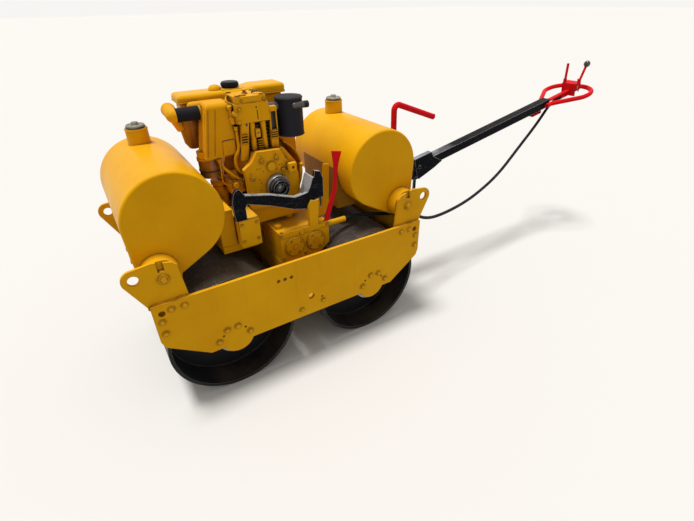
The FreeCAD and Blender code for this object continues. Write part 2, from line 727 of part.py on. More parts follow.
def make_centre_frame():
    """The cross sill between the drums with the column that carries gearbox and bed."""
    half = size("sill_width") / 2
    sill_top = size("sill_foot") + size("sill_depth")
    sill = box("centre_sill", (-half, -plate_inside, size("sill_foot")),
               (half, plate_inside, sill_top))
    half = size("column_width") / 2
    under_gearbox = box("centre_column_left", (-half, size("gearbox_right_end") - 4, sill_top),
                        (half, size("column_left_end"), size("gearbox_foot")))
    under_bed = box("centre_column_right", (-half, size("column_right_end"), sill_top),
                    (half, size("gearbox_right_end") - 4, size("bed_height")))
    return fuse("centre_frame", [sill, under_gearbox, under_bed])


def make_engine_bed():
    """The flat bed under the engine with a tongue that carries the mounting block."""
    deck = box("bed_deck", (size("bed_rear"), size("bed_right_end"), size("bed_height")),
               (size("bed_front"), size("bed_left_end"), bed_top))
    tongue = box("bed_tongue", (size("block_rear"), size("bed_left_end") - 20,
                                size("bed_height")),
                 (size("bed_front"), size("tongue_left_end"), tongue_top))
    return fuse("engine_bed", [deck, tongue])


def make_apron():
    """The upright sheet box on the bed's front end, open for the tongue below it."""
    upper = box("apron_upper", (size("apron_rear") + 8, size("apron_right_end"), tongue_top),
                (size("bed_front"), size("apron_left_end"), size("apron_top")))
    lower = box("apron_lower", (size("apron_rear") + 8, size("apron_right_end"), bed_top),
                (size("bed_front"), size("bed_left_end") - 21, tongue_top))
    return fuse("front_apron", [upper, lower])


def make_block():
    """The block on the bed that the guard bar stands on."""
    return box("mounting_block", (size("block_rear"), size("block_right_end"), tongue_top),
               (size("block_front"), size("block_left_end"), size("block_top")))


# Water tanks

def make_tank(name, way):
    """A pear-shaped tank across the machine, with mounting discs and a filler neck."""
    big = (way * size("tank_place"), tank_height, size("tank_radius"))
    small = (way * tank_foot_x, tank_foot_z, size("tank_foot_radius"))
    shell = prism(name + "_shell", (-tank_end, tank_end), belt=(big, small))
    end = float(tank_end)

    def end_edge(edge):
        return all(abs(abs(vertex.Y) - end) < 0.01 for vertex in edge.Vertexes)

    round_edges(shell, name + "_rounding", size("tank_edge"), end_edge)
    pieces = [shell]
    for side, label in ((1, "left"), (-1, "right")):
        low, high = both_ends(tank_end, ear_inside, side)
        pieces.append(rod(f"{name}_{label}_disc", "Y",
                          (way * tank_foot_x, low, tank_foot_z),
                          size("tank_boss_radius"), ear_inside - tank_end))
    neck_foot = tank_height + size("tank_radius") / 2
    pieces.append(rod(name + "_neck", "Z",
                      (way * size("tank_place"), size("neck_place"), neck_foot),
                      size("neck_radius"), neck_top - neck_foot,
                      size("neck_mouth_radius")))
    if way < 0:
        reach = size("tank_place") - size("tank_radius") / 2
        pieces.append(box(name + "_pocket", (-reach, -size("pocket_end"), size("pocket_foot")),
                          (size("pocket_front"), size("pocket_end"), size("pocket_top"))))
    return fuse(name, pieces)


def make_cap(name, way):
    """A flat filler cap with a small knob."""
    spot = (way * size("tank_place"), size("neck_place"))
    disc = rod(name + "_disc", "Z", (*spot, neck_top), size("cap_radius"), size("cap_wall"))
    knob = rod(name + "_knob", "Z", (*spot, neck_top + size("cap_wall")),
               size("cap_knob_radius"), size("cap_knob_height"))
    return fuse(name, [disc, knob])


# Gearbox

def make_gearbox():
    """The cast box beside the engine, drawn in to clear the drums, with two round covers."""
    front = size("gearbox_front")
    rear = size("gearbox_rear")
    foot = size("gearbox_foot")
    corners = [
        (rear, size("gearbox_top")), (front, size("gearbox_top")),
        (front, foot), (rear + size("gearbox_cut_length"), foot),
        (rear, foot + size("gearbox_cut_height")),
    ]
    ends = (size("gearbox_right_end"), size("gearbox_left_end"))
    case = prism("gearbox_case", ends, corners=corners)
    covers = [rod(f"gearbox_cover_{label}", "Y",
                  (place_x, size("gearbox_left_end"), size("gearbox_cover_height")),
                  size("gearbox_cover_radius"), size("gearbox_cover_wall"))
              for label, place_x in (("front", size("gearbox_cover_front")),
                                     ("rear", size("gearbox_cover_rear")))]
    plug = rod("gearbox_plug", "Z", (rear + 114, size("gearbox_right_end") + 35,
                                     size("gearbox_top")), 21, 17)
    nut = rod("gearbox_nut", "Z", (front - 22, size("gearbox_left_end") - 62,
                                   size("gearbox_top")), 14, 12)
    half = size("gate_wall") / 2
    gate_front = size("gate_front")
    gate_top = size("gate_top")
    seat = size("gearbox_top")
    gate = prism("lever_gate", (size("gate_line") - half, size("gate_line") + half), corners=[
        (gate_front, seat), (gate_front, size("gate_stub_top")),
        (gate_front - 34, size("gate_stub_top") + 5), (gate_front - 38, seat + 40),
        (gate_front - 46, seat + 40), (gate_front - 60, gate_top), (gate_front - 86, gate_top - 5),
        (gate_front - 76, seat + 14), (rear, seat),
    ])
    post_start = size("guard_line") + size("guard_wall") / 2 + size("guard_post_gap")
    post = prism("guard_post", (post_start, size("gearbox_left_end")), corners=[
        (-82, seat), (-82, seat + 86), (-97, seat + 109), (-128, seat + 100), (-120, seat),
    ])
    route_x, route_y, route_z = CABLE_ROUTE[0]
    sleeve = rod("cable_sleeve", "X", (route_x, route_y, route_z), size("cable_sleeve_radius"),
                 rear - route_x)
    return fuse("gearbox", [case, plug, nut, gate, post, sleeve] + covers)


# Engine

def make_crankcase():
    """The crankcase on its feet."""
    front = size("crankcase_front")
    rear = size("crankcase_rear")
    foot = size("crankcase_foot")
    top = size("crankcase_top")
    corners = [
        (front, foot), (front, top - 72), (front - 32, top),
        (rear + 46, top), (rear, top - 62), (rear, foot),
    ]
    ends = (size("crankcase_right_end"), size("crankcase_left_end"))
    case = prism("crankcase_block", ends, corners=corners)
    feet = [box(f"crankcase_foot_{label}", (low, size("crankcase_right_end"), bed_top),
                (low + 56, 20, foot))
            for label, low in (("front", front - 56), ("rear", rear))]
    middle = (foot + top) / 2
    sump = box("crankcase_sump", (front - 5, size("crankcase_right_end") + 6, foot + 8),
               (front + 38, size("block_right_end") - 8, middle - 30))
    pump = box("crankcase_pump", (front - 5, -20, middle - 10), (front + 60, 62, middle + 42))
    barrel = rod("crankcase_pump_barrel", "Z", (front + 32, 36, middle + 40), 16, 30)
    return fuse("crankcase", [case] + feet + [sump, pump, barrel])


def make_timing_cover():
    """The cast cover over the timing gears, with the bored ring round the crank end."""
    x = size("crank_place")
    z = size("crank_height")
    corners = [
        (x + 114, z - 78), (x + 118, z + 46), (x + 124, z + 84), (x + 90, z + 106),
        (x + 65, z + 142), (x - 28, z + 138), (x - 48, z + 98), (x - 82, z + 72),
        (x - 96, z + 32), (x - 92, z - 78),
    ]
    cover = prism("timing_cover_plate", (size("crankcase_left_end"), cover_face), corners=corners)
    boss = rod("timing_cover_boss", "Y", (x - 61, cover_face, z + 67), 16, 8)
    return fuse("timing_cover", [cover, boss])


def make_crank_hub():
    """The ring and the dark crank end that the starting crank fits."""
    spot = (size("crank_place"), cover_face, size("crank_height"))
    ring = rod("crank_hub_ring", "Y", spot, size("crank_ring_radius"), size("crank_ring_length"))
    end = rod("crank_hub_end", "Y", spot, size("crank_end_radius"), size("crank_end_length"))
    return fuse("crank_hub", [ring, end])


def make_cylinder():
    """The finned cylinder: a core with fins that are repeated upwards."""
    low = (size("cylinder_rear"), size("cylinder_right_end"), size("crankcase_top"))
    high = (size("cylinder_front"), size("cylinder_left_end"), size("cylinder_top"))
    depth = size("fin_depth")
    core = box("cylinder_core", (low[0] + depth, low[1] + depth, low[2]),
               (high[0] - depth, high[1] - depth, high[2]))
    count = int((float(high[2]) - float(low[2])) // float(size("fin_pitch")))
    fins = []
    for index in range(count):
        foot = low[2] + 6 + index * size("fin_pitch")
        fins.append(box(f"cylinder_fin_{index}", (low[0], low[1], foot),
                        (high[0], high[1], foot + size("fin_wall"))))
    return fuse("cylinder", [core] + fins + make_pushrods())


def make_head():
    """The cylinder head with the rocker cover on it."""
    inset = size("rocker_inset")
    head = box("head_block", (size("head_rear"), size("head_right_end"), size("cylinder_top")),
               (size("head_front"), size("head_left_end"), size("head_top")))
    cover = box("head_cover", (size("head_rear") + inset, size("head_right_end") + inset,
                               size("head_top")),
                (size("head_front") - inset, size("head_left_end") - inset, size("rocker_top")))
    return fuse("cylinder_head", [head, cover])


def make_pushrods():
    """The two push-rod tubes between crankcase and head, close beside the fins."""
    foot = size("crankcase_top")
    return [rod(f"pushrod_tube_{label}", "Z", (spot, size("pushrod_line"), foot),
                size("pushrod_radius"), size("cylinder_top") - foot)
            for label, spot in (("front", size("pushrod_front")),
                                ("rear", size("pushrod_rear")))]


def make_fan_housing():
    """The round fan housing, its duct to the cylinder and the curved shroud strip."""
    middle = (size("crank_place"), size("fan_right_end"), size("fan_height"))
    fan_end = size("crankcase_right_end") - size("fan_gap")
    drum = rod("fan_drum", "Y", middle, size("fan_radius"), fan_end - size("fan_right_end"))
    duct = box("fan_duct", (size("duct_rear"), size("fan_right_end"), size("fan_height")),
               (size("duct_front"), fan_end, size("duct_top")))
    strip_start = (size("crank_place"), fan_end, size("fan_height"))
    strip_length = size("shroud_left_end") - fan_end
    outer = rod("fan_strip_outer", "Y", strip_start, size("fan_radius"), strip_length)
    outer.Angle = 100
    outer.Placement = Placement(Vector(*[float(v) for v in strip_start]),
                                Rotation(Vector(0, 1, 0), 140) * Rotation(Vector(1, 0, 0), -90))
    inner = rod("fan_strip_inner", "Y", strip_start, size("fan_radius") - size("shroud_wall"),
                strip_length)
    return fuse("fan_housing", [drum, duct, cut("fan_strip", outer, inner)])


def make_cowl():
    """The large rounded cooling cowl in front of the cylinder, with the oil bowl under it."""
    corners = [
        (size("cowl_rear"), size("cowl_foot") + 6), (size("cowl_front_foot"), size("cowl_foot")),
        (size("cowl_front_top"), cowl_top), (size("cowl_rear"), cowl_top),
    ]
    body = prism("cowl_shell", (size("cowl_right_end"), size("cowl_left_end")), corners=corners)
    high = float(cowl_top) - 0.5

    def outer_edge(edge):
        spots = [vertex.Point for vertex in edge.Vertexes]
        return all(spot.z > high for spot in spots)

    round_edges(body, "cowl_rounding", size("cowl_edge"), outer_edge)
    bowl = rod("oil_bowl", "Z", (size("bowl_place"), size("bowl_line"),
                                 size("cowl_foot") - size("bowl_depth")),
               size("bowl_radius"), size("bowl_depth") + 20)
    rim = rod("oil_bowl_rim", "Z", (size("bowl_place"), size("bowl_line"),
                                    size("cowl_foot") - 14), size("bowl_radius") + 3, 8)
    return fuse("cooling_cowl", [body, bowl, rim])


def make_intake():
    """Hose, elbow and upright air cleaner; their ends are cut to the faces that they meet."""
    cowl = make_cowl()
    spot = (size("cleaner_place"), size("cleaner_line"))
    can = rod("cleaner_can", "Z", (*spot, size("cleaner_waist")), size("cleaner_waist_radius"),
              size("cleaner_top") - size("cleaner_waist"), size("cleaner_radius"))
    bowl = rod("cleaner_bowl", "Z", (*spot, size("cleaner_foot")), size("cleaner_foot_radius"),
               size("cleaner_waist") - size("cleaner_foot"), size("cleaner_waist_radius"))
    cleaner = fuse("air_cleaner", [can, bowl])
    start = size("cowl_front_top") - 4
    hose = rod("hose_rod", "X", (start, size("hose_line"), hose_height),
               size("hose_radius"), size("elbow_start") - start)
    x = size("elbow_place")
    turn = (x, size("hose_line"), hose_height)
    rear = (x, size("elbow_line"), hose_height + size("elbow_rise"))
    inlet = (spot[0] + 34, spot[1] + 10, size("elbow_inlet_height"))
    legs = [rod("elbow_leg_hose", "X", (size("elbow_start"), *turn[1:]), size("elbow_radius"),
                x - size("elbow_start")),
            slanted_rod("elbow_leg_cross", turn, rear, size("elbow_radius")),
            slanted_rod("elbow_leg_inlet", rear, inlet, size("elbow_inlet_radius")),
            ball("elbow_turn", turn, size("elbow_radius")),
            ball("elbow_rear", rear, size("elbow_radius") + 2)]
    elbow = cut("intake_elbow", fuse("elbow_legs", legs), cleaner)
    return [cowl, cut("intake_hose", hose, cowl), elbow, cleaner]


def make_fuel_tank():
    """The long fuel tank: an upper half with a raised rear end on a narrower lower half."""
    low = (size("fuel_rear"), size("fuel_right_end"), size("fuel_seam"))
    high = (size("fuel_front"), size("fuel_left_end"), size("fuel_top"))
    step = size("fuel_hump_front")
    raised = high[2] + size("fuel_hump_height")
    upper = prism("fuel_upper", (low[1], high[1]), corners=[
        (low[0], low[2]), (high[0], low[2]), (high[0], high[2]),
        (step + 24, high[2]), (step, raised), (low[0], raised),
    ])
    foot = float(low[2]) + 0.5

    def upper_edge(edge):
        return any(vertex.Z > foot for vertex in edge.Vertexes)

    round_edges(upper, "fuel_rounding", size("fuel_edge"), upper_edge)
    inset = size("fuel_inset")
    lower = box("fuel_lower", (low[0] + inset, low[1] + inset, size("duct_top")),
                (high[0] - inset, high[1] - inset, low[2]))
    dome = rod("fuel_dome", "Z", (size("fuel_dome_place"), size("fuel_cap_line") + 14, high[2]),
               size("fuel_dome_radius"), size("fuel_dome_height"),
               size("fuel_dome_radius") - 9)
    return fuse("fuel_tank", [upper, lower, dome])


def make_fuel_cap():
    """The broad dark fuel cap."""
    return rod("fuel_cap", "Z", (size("fuel_cap_place"), size("fuel_cap_line"),
                                 size("fuel_top")),
               size("fuel_cap_radius"), size("fuel_cap_height"))


def make_silencer():
    """The upright silencer with the pipe from the head and its short outlet."""
    spot = (size("silencer_place"), size("silencer_line"))
    can = rod("silencer_can", "Z", (*spot, size("silencer_foot")), size("silencer_radius"),
              size("silencer_top") - size("silencer_foot"))
    inlet = rod("silencer_inlet", "X", (*spot, size("exhaust_height")), size("exhaust_radius"),
                size("head_rear") - size("silencer_place"))
    outlet_start = (spot[0], spot[1] + size("silencer_radius") - 1, size("outlet_height"))
    outlet = rod("silencer_outlet", "X", (spot[0] - size("outlet_length"), *outlet_start[1:]),
                 size("outlet_radius"), size("outlet_length"))
    turn = ball("silencer_outlet_turn", outlet_start, size("outlet_radius"))
    return fuse("silencer", [can, inlet, outlet, turn])


# Levers, guard and stored crank

def make_guard_bar():
    """The bent dark bar over the gearbox, from the mounting block to its rear post."""
    depth = size("guard_depth")
    top = size("block_top")
    corners = [
        (208, top), (211, top + 70), (206, top + 98), (198, top + 114), (187, top + 122),
        (178, top + 120), (170, top + 108), (162, top + 93), (143, top + 89), (67, top + 73),
        (-33, top + 39), (-68, top + 43), (-90, top + 48), (-120, top + 104), (-124, top + 128),
        (-148, top + 121), (-159, top + 92), (-158, top + 14), (-122, top + 13),
        (-100, top + 2), (-89, top - 22), (-28, top + 34 - depth), (67, top + 73 - depth),
        (158, top + 102 - depth), (165, top + 48), (165, top),
    ]
    line = size("guard_line")
    half = size("guard_wall") / 2
    bar = prism("guard_bar_strip", (line - half, line + half), corners=corners)
    rest = prism("guard_bar_rest", (line + half - size("guard_rest_width"), line + half), corners=[
        (-88, top + 28), (-113, top + 101), (-120, top + 103), (-97, top + 24),
    ])
    return fuse("guard_bar", [bar, rest])


def make_shift_lever():
    """The red shift lever that rises from the gearbox and widens at the top."""
    line = size("lever_line")
    foot = size("gearbox_top")
    start = size("lever_place")
    front_edge = [(start, foot), (start - 21, foot + 64), (start - 46, foot + 124),
                  (start - 52, foot + 183), (start - 53, foot + 231), (start - 46, foot + 286)]
    rear_edge = [(start - 89, foot + 278), (start - 74, foot + 231), (start - 66, foot + 183),
                 (start - 63, foot + 124), (start - 42, foot + 64), (start - 22, foot)]
    corners = front_edge + rear_edge
    half = size("lever_radius") / 2
    return prism("shift_lever", (line - half, line + half), corners=corners)


def crank_leg():
    """Foot and bend of the stored crank's long leg."""
    x = float(size("crank_tube_place"))
    y = float(size("crank_tube_line"))
    foot = Vector(x, y, float(size("crank_tube_foot")))
    return foot, Vector(x + float(size("crank_tube_lean")), y, float(size("crank_tube_top")))


def make_start_crank():
    """The starting crank stored upright in its socket behind the rear beam."""
    foot, bend = crank_leg()
    end = bend - Vector(float(size("crank_arm_length")), 0, float(size("crank_arm_drop")))
    path = rounded_path([foot, bend, end], [size("crank_tube_bend")])
    return piece("start_crank", tube_along(path, size("crank_tube_radius")))


def make_crank_socket():
    """The socket that holds the stored crank, in one piece with the rear beam."""
    x = size("crank_tube_place")
    y = size("crank_tube_line")
    low = size("crank_tube_foot")
    height = size("crank_socket_height")
    half = size("crank_tube_radius") + size("crank_socket_wall")
    block = box("crank_socket_block", (x - half - 6, y - half, low),
                (-(plate_end - 2), y + half, low + height))
    foot, bend = crank_leg()
    along = (bend - foot).normalize()
    bore = piece("crank_socket_bore",
                 Part.makeCylinder(float(size("crank_tube_radius")) + 0.3,
                                   4 * float(height), foot - along * float(height), along))
    return cut("crank_socket", block, bore)


# Drawbar, handle and cable

def tilt_about_pin(thing):
    """Tilt a level piece of the drawbar about the hinge pin to its parked slope."""
    place(thing, (size("pin_place"), 0, size("pin_height")), (0, 1, 0), size("bar_tilt"))
    return thing


def from_bar(x, y, z):
    """A level place of the drawbar as a place of the parked machine."""
    turn = Rotation(Vector(0, 1, 0), float(size("bar_tilt")))
    pin = Vector(float(size("pin_place")), 0, float(size("pin_height")))
    return pin + turn.multVec(Vector(float(x), float(y), float(z)))


gusset_front_foot = (10, -66)
gusset_front_top = (16, -34)


def stop_place():
    """The middle of the stop rod: beside the front edge of the parked drawbar's gussets."""
    foot = Vector(gusset_front_foot[0], 0, gusset_front_foot[1])
    top = Vector(gusset_front_top[0], 0, gusset_front_top[1])
    along = (top - foot).normalize()
    outward = Vector(along.z, 0, -along.x)
    touch = foot + along * ((top - foot).Length * 0.35)
    return touch + outward * (float(size("stop_radius")) + float(size("stop_gap")))


def make_bracket():
    """The dark bracket behind the rear beam that the gussets straddle: two plates with a top
    plate and a foot plate, the hinge pin, the stop rod and a strut under each plate."""
    rear = -(plate_end - 2)
    outside = size("bar_width") / 2 - size("clevis_gap")
    inside = outside - size("bracket_wall")
    pin_x = size("pin_place")
    pin_z = size("pin_height")
    boss = size("bracket_boss_radius")
    strut_rear = pin_x + 2
    strut_front = strut_rear + size("bracket_strut_width")
    shelf = pin_z - 14
    corners = [
        (rear, size("beam_top")), (rear - 108, shelf), (pin_x, shelf),
        (pin_x - 3, pin_z - 68), (strut_rear, pin_z - 68), (strut_rear, beam_foot + 4),
        (strut_front, beam_foot + 4), (strut_front, pin_z - 67), (pin_x + 35, pin_z - 66),
        (rear - 122, beam_foot + 45), (rear, beam_foot),
    ]
    pieces = [prism(f"bracket_plate_{label}", both_ends(inside, outside, side), corners=corners,
                    bosses=[(pin_x, pin_z, boss)])
              for side, label in ((1, "left"), (-1, "right"))]
    pieces.append(prism("bracket_top", (-inside - 2, inside + 2), corners=[
        (rear, size("beam_top")), (rear - 108, shelf), (pin_x + 16, shelf),
        (pin_x + 16, shelf - 8), (rear - 105, shelf - 8), (rear, size("beam_top") - 11),
    ]))
    reach = size("bar_width") / 2 + size("gusset_wall")
    pieces.append(rod("bracket_pin", "Y", (pin_x, -reach - 10, pin_z), size("pin_radius"),
                      2 * reach + 20))
    pieces.append(box("bracket_foot", (strut_rear, -outside, beam_foot),
                      (rear, outside, beam_foot + 8)))
    stop = from_bar(*stop_place())
    pieces.append(rod("bracket_stop", "Y", (stop.x, -reach, stop.z), size("stop_radius"),
                      2 * reach))
    return fuse("drawbar_bracket", pieces)


def make_drawbar():
    """The square-section drawbar with a gusset on each side that reaches forward to the pin;
    the left one is taller and carries a flange."""
    half = size("bar_width") / 2
    lift = size("bar_lift")
    depth = size("bar_depth") / 2
    tube = box("drawbar_tube", (size("bar_rear"), -half, lift - depth),
               (size("bar_front"), half, lift + depth))
    top = lift + depth
    peak = size("gusset_peak")
    rear = [(-104, top), (-158, lift - depth), (-103, -47), (-10, -66), (2, -68),
            gusset_front_foot, gusset_front_top]
    outlines = {"left": [(20, peak), (-90, peak)] + rear, "right": [(20, top)] + rear}
    pieces = [tube]
    for side, label in ((1, "left"), (-1, "right")):
        pieces.append(prism(f"drawbar_gusset_{label}",
                            both_ends(half, half + size("gusset_wall"), side),
                            corners=outlines[label]))
    pieces.append(box("drawbar_flange", (-90, half - size("flange_width"),
                                         peak - size("gusset_wall")), (20, half + 1, peak)))
    hole = rod("drawbar_hole", "Y", (0, -half - 20, 0), size("pin_radius") + size("pin_gap"),
               2 * half + 40)
    return tilt_about_pin(cut("drawbar", fuse("drawbar_solid", pieces), hole))


def make_loop():
    """The closed handle loop welded round the drawbar's end."""
    start = float(size("bar_rear")) + 42
    end = float(size("bar_rear")) - float(size("loop_length"))
    side = float(size("bar_width")) / 2 + float(size("loop_radius"))
    wide = float(size("loop_half_width"))
    lift = float(size("bar_lift")) - 3
    points = [(start, side, lift), (start - 42, side, lift), (start - 207, wide, lift),
              (end, wide, lift), (end, -wide, lift), (start - 207, -wide, lift),
              (start - 42, -side, lift), (start, -side, lift)]
    corner = 0.84 * wide
    path = rounded_path(points, [60, 100, corner, corner, 100, 60])
    return tilt_about_pin(piece("handle_loop", tube_along(path, size("loop_radius"))))


box_front = size("lever_box_front")
guide_front = box_front + size("guide_length")
guide_height = size("lever_box_sill") + 10


def make_lever_box():
    """The box inside the handle that the hand levers turn in, on a strap behind the drawbar."""
    half = size("lever_box_width") / 2
    plate = box("lever_box_plate", (box_front - 7, -half, size("lever_box_sill")),
                (box_front, half, size("lever_box_top")))
    case = box("lever_box_case", (box_front - size("lever_box_length"), -half,
                                  size("lever_box_foot")),
               (box_front - 5, half, size("lever_box_top")))
    strap = box("lever_box_strap", (box_front - 3, -12, -11), (size("bar_rear"), 12, -1))
    guide = rod("lever_box_guide", "X", (box_front - 3, 0, guide_height),
                size("cable_sleeve_radius"), size("guide_length") + 3)
    return tilt_about_pin(fuse("lever_box", [plate, case, strap, guide]))


def make_hand_levers():
    """Two hand levers on the lever box, one with a ball."""
    top = float(size("lever_box_top"))
    front = float(box_front)
    shapes = []
    for x, y, lean, height, radius in ((front - 15, -37, -10, 103, 7),
                                       (front - 42, 36, -54, 88, 7)):
        foot = Vector(x, y, top)
        lever = Part.makeCylinder(radius, math.hypot(lean, height), foot,
                                  Vector(lean, 0, height))
        lever = lever.fuse(Part.makeCylinder(radius + 3, 18, foot, Vector(0, 0, 1)))
        trim = Part.makeBox(80, 80, 40, Vector(x - 40, y - 40, top - 39.7))
        shapes.append(lever.cut(trim))
    knob = Part.makeSphere(18, Vector(front - 42 - 54, 36, top + 88))
    shapes[1] = shapes[1].fuse(knob)
    return tilt_about_pin(piece("hand_levers", Part.makeCompound(shapes)))


# The control cable's route from the gearbox's sleeve, chosen by hand; its last two points lie
# in line with the guide of the lever box.
CABLE_ROUTE = [
    (-262, 186, 540), (-324, 186, 540), (-392, 190, 530), (-456, 195, 512), (-520, 198, 503),
    (-590, 199, 500), (-640, 196, 470), (-700, 189, 424), (-776, 177, 396), (-860, 163, 386),
    (-950, 149, 385), (-1044, 134, 390), (-1136, 119, 402), (-1228, 104, 424),
    (-1319, 91, 455), (-1407, 77, 497), (-1490, 62, 548), (-1574, 47, 601),
    (-1668, 32, 661), (-1748, 18, 717), (-1806, 8, 766),
    tuple(round(value, 2) for value in from_bar(guide_front + 60, 0, guide_height)),
    tuple(round(value, 2) for value in from_bar(guide_front, 0, guide_height)),
]
print("cable ends", CABLE_ROUTE[-2:])


def make_cable():
    """The free-hanging control cable from the gearbox to the lever box."""
    spots = [Vector(*point) for point in CABLE_ROUTE]
    radii = []
    for before, corner, after in zip(spots, spots[1:], spots[2:]):
        turn = (corner - before).getAngle(after - corner)
        shorter = min((corner - before).Length, (after - corner).Length)
        radii.append(0.45 * shorter / math.tan(turn / 2))
    print("cable radii", [round(radius) for radius in radii])
    path = rounded_path(CABLE_ROUTE, radii)
    solid = tube_along(path, size("cable_radius"))
    section = math.pi * float(size("cable_radius")) ** 2
    print("cable length", round(path.Length), "volume ratio",
          round(solid.Volume / (section * path.Length), 5))
    return piece("control_cable", solid)


# All sub-parts

def make_all():
    parts = []
    for end, way in (("front", 1), ("rear", -1)):
        parts.append(make_drum(f"{end}_drum", way))
        parts.append(make_beam(f"{end}_beam", way))
        parts.append(make_tank(f"{end}_tank", way))
        parts.append(make_cap(f"{end}_tank_cap", way))
        for hand, side in (("left", 1), ("right", -1)):
            parts.append(make_axle(f"axle_{end}_{hand}", way, side))
            parts.append(make_ear_plate(f"ear_plate_{end}_{hand}", way, side))
    for hand, side in (("left", 1), ("right", -1)):
        parts.append(make_side_plate(f"side_plate_{hand}", side))
    parts += [
        make_centre_frame(), make_engine_bed(), make_apron(), make_block(), make_gearbox(),
        make_crankcase(), make_timing_cover(), make_crank_hub(), make_cylinder(), make_head(),
        make_fan_housing(), *make_intake(), make_fuel_tank(), make_fuel_cap(), make_silencer(),
        make_guard_bar(), make_shift_lever(), make_start_crank(), make_bracket(),
        make_drawbar(), make_loop(), make_lever_box(), make_hand_levers(), make_cable(),
    ]
    return parts


def check_and_export(parts):
    """Stop on any failed object or bad shape, then write one STEP file per sub-part."""
    doc.recompute()
    failed = [thing.Name for thing in doc.Objects
              if "Invalid" in thing.State or "Error" in thing.State]
    if failed:
        raise RuntimeError("failed objects: " + ", ".join(failed))
    for part in parts:
        if part.Shape.isNull() or not part.Shape.isValid():
            raise RuntimeError("bad shape: " + part.Label)
    os.makedirs("parts", exist_ok=True)
    for part in parts:
        part.Shape.exportStep(os.path.join("parts", part.Label + ".step"))
    print(len(parts), "parts written")


check_and_export(make_all())
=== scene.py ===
import math

import bmesh
import bpy
from bpy.props import FloatProperty, FloatVectorProperty, IntProperty, PointerProperty
from mathutils import Matrix, Vector


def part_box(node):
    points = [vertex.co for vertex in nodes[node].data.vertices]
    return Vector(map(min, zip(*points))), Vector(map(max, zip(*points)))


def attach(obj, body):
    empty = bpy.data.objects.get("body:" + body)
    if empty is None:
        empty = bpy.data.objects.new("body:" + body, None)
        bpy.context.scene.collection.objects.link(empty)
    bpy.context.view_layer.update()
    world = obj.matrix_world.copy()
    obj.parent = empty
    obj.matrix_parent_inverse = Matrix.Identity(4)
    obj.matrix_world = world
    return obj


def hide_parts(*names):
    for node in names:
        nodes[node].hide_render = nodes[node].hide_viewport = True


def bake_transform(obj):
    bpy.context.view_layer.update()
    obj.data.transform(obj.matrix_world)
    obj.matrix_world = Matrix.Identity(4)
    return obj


bl_info = {
    "name": "Walk-behind road roller",
    "version": (1, 0, 0),
    "blender": (4, 5, 0),
    "location": "View3D > Sidebar > Roller",
    "description": "Gives the packed double-drum roller its paint, wear, fasteners and fittings",
    "category": "Object",
}

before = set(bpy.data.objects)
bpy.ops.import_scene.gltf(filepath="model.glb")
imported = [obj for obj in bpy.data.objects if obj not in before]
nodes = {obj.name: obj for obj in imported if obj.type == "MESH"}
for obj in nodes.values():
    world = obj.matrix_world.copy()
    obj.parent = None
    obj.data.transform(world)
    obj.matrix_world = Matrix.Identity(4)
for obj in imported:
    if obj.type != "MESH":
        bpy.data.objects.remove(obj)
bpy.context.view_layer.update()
CHASSIS = "chassis"
DRAWBAR = "drawbar"


def colour(name, description, default):
    """A colour that a user may change."""
    return FloatVectorProperty(name=name, description=description, subtype="COLOR", size=3,
                               default=default, min=0.0, max=1.0)


class RollerPaint(bpy.types.PropertyGroup):
    """Colours and condition of the machine."""
    yellow: colour("Yellow", "Enamel of frame, tanks and engine", (0.86, 0.440, 0.003))
    yellow_aged: colour("Aged yellow", "Where the enamel has darkened", (0.74, 0.345, 0.002))
    black: colour("Black", "Paint of drawbar, guard bar and drum ends", (0.0056, 0.0064, 0.0088))
    red: colour("Red", "Paint of handle, levers and starting crank", (0.84, 0.012, 0.018))
    silencer: colour("Silencer", "Heat-proof coating of the silencer", (0.0085, 0.0090, 0.0140))
    rubber: colour("Rubber", "Hose and cable cover", (0.011, 0.012, 0.015))
    steel: colour("Steel", "Bare steel under worn paint", (0.42, 0.41, 0.39))
    cap: colour("Cap metal", "Weathered metal of the filler caps", (0.38, 0.37, 0.29))
    dust: colour("Dust", "Dry dust from the ground", (0.52, 0.36, 0.16))
    # Grime colour, also laid as painted shade in corners that ambient occlusion finds.
    grime_and_shade: colour("Grime", "Oily dirt in corners", (0.070, 0.036, 0.012))
    wear: FloatProperty(name="Wear", description="How much paint has chipped from the edges",
                        default=0.7, min=0.0, max=1.0, subtype="FACTOR")
    dusty: FloatProperty(name="Dusty", description="How much dust lies on upper faces",
                         default=0.30, min=0.0, max=1.0, subtype="FACTOR")


class RollerSizes(bpy.types.PropertyGroup):
    """Sizes of the fittings that are added to the CAD pieces."""
    edge: FloatProperty(name="Edge rounding", description="Rounding of plate and block edges",
                        default=0.0014, min=0.0002, max=0.004, subtype="DISTANCE", unit="LENGTH")
    head_height: FloatProperty(name="Head height", description="Bolt head height by its radius",
                               default=0.62, min=0.2, max=1.2)
    cable: FloatProperty(name="Cable diameter", description="Diameter of the control cable",
                         default=0.016, min=0.006, max=0.02, subtype="DISTANCE", unit="LENGTH")
    seed: IntProperty(name="Seed", description="Turns the bolt heads differently", default=4,
                      min=0, max=99)


class RollerStage(bpy.types.PropertyGroup):
    """Floor and light."""
    floor: colour("Floor", "Colour of the plain floor", (0.74, 0.72, 0.69))
    sky: FloatProperty(name="Sky", description="Strength of the even light", default=0.46,
                       min=0.0, max=2.0)
    key: FloatProperty(name="Key", description="Strength of the soft key light", default=2.75,
                       min=0.0, max=10.0)


def paint():
    return bpy.context.scene.roller_paint


def sizes():
    return bpy.context.scene.roller_sizes


# Node trees

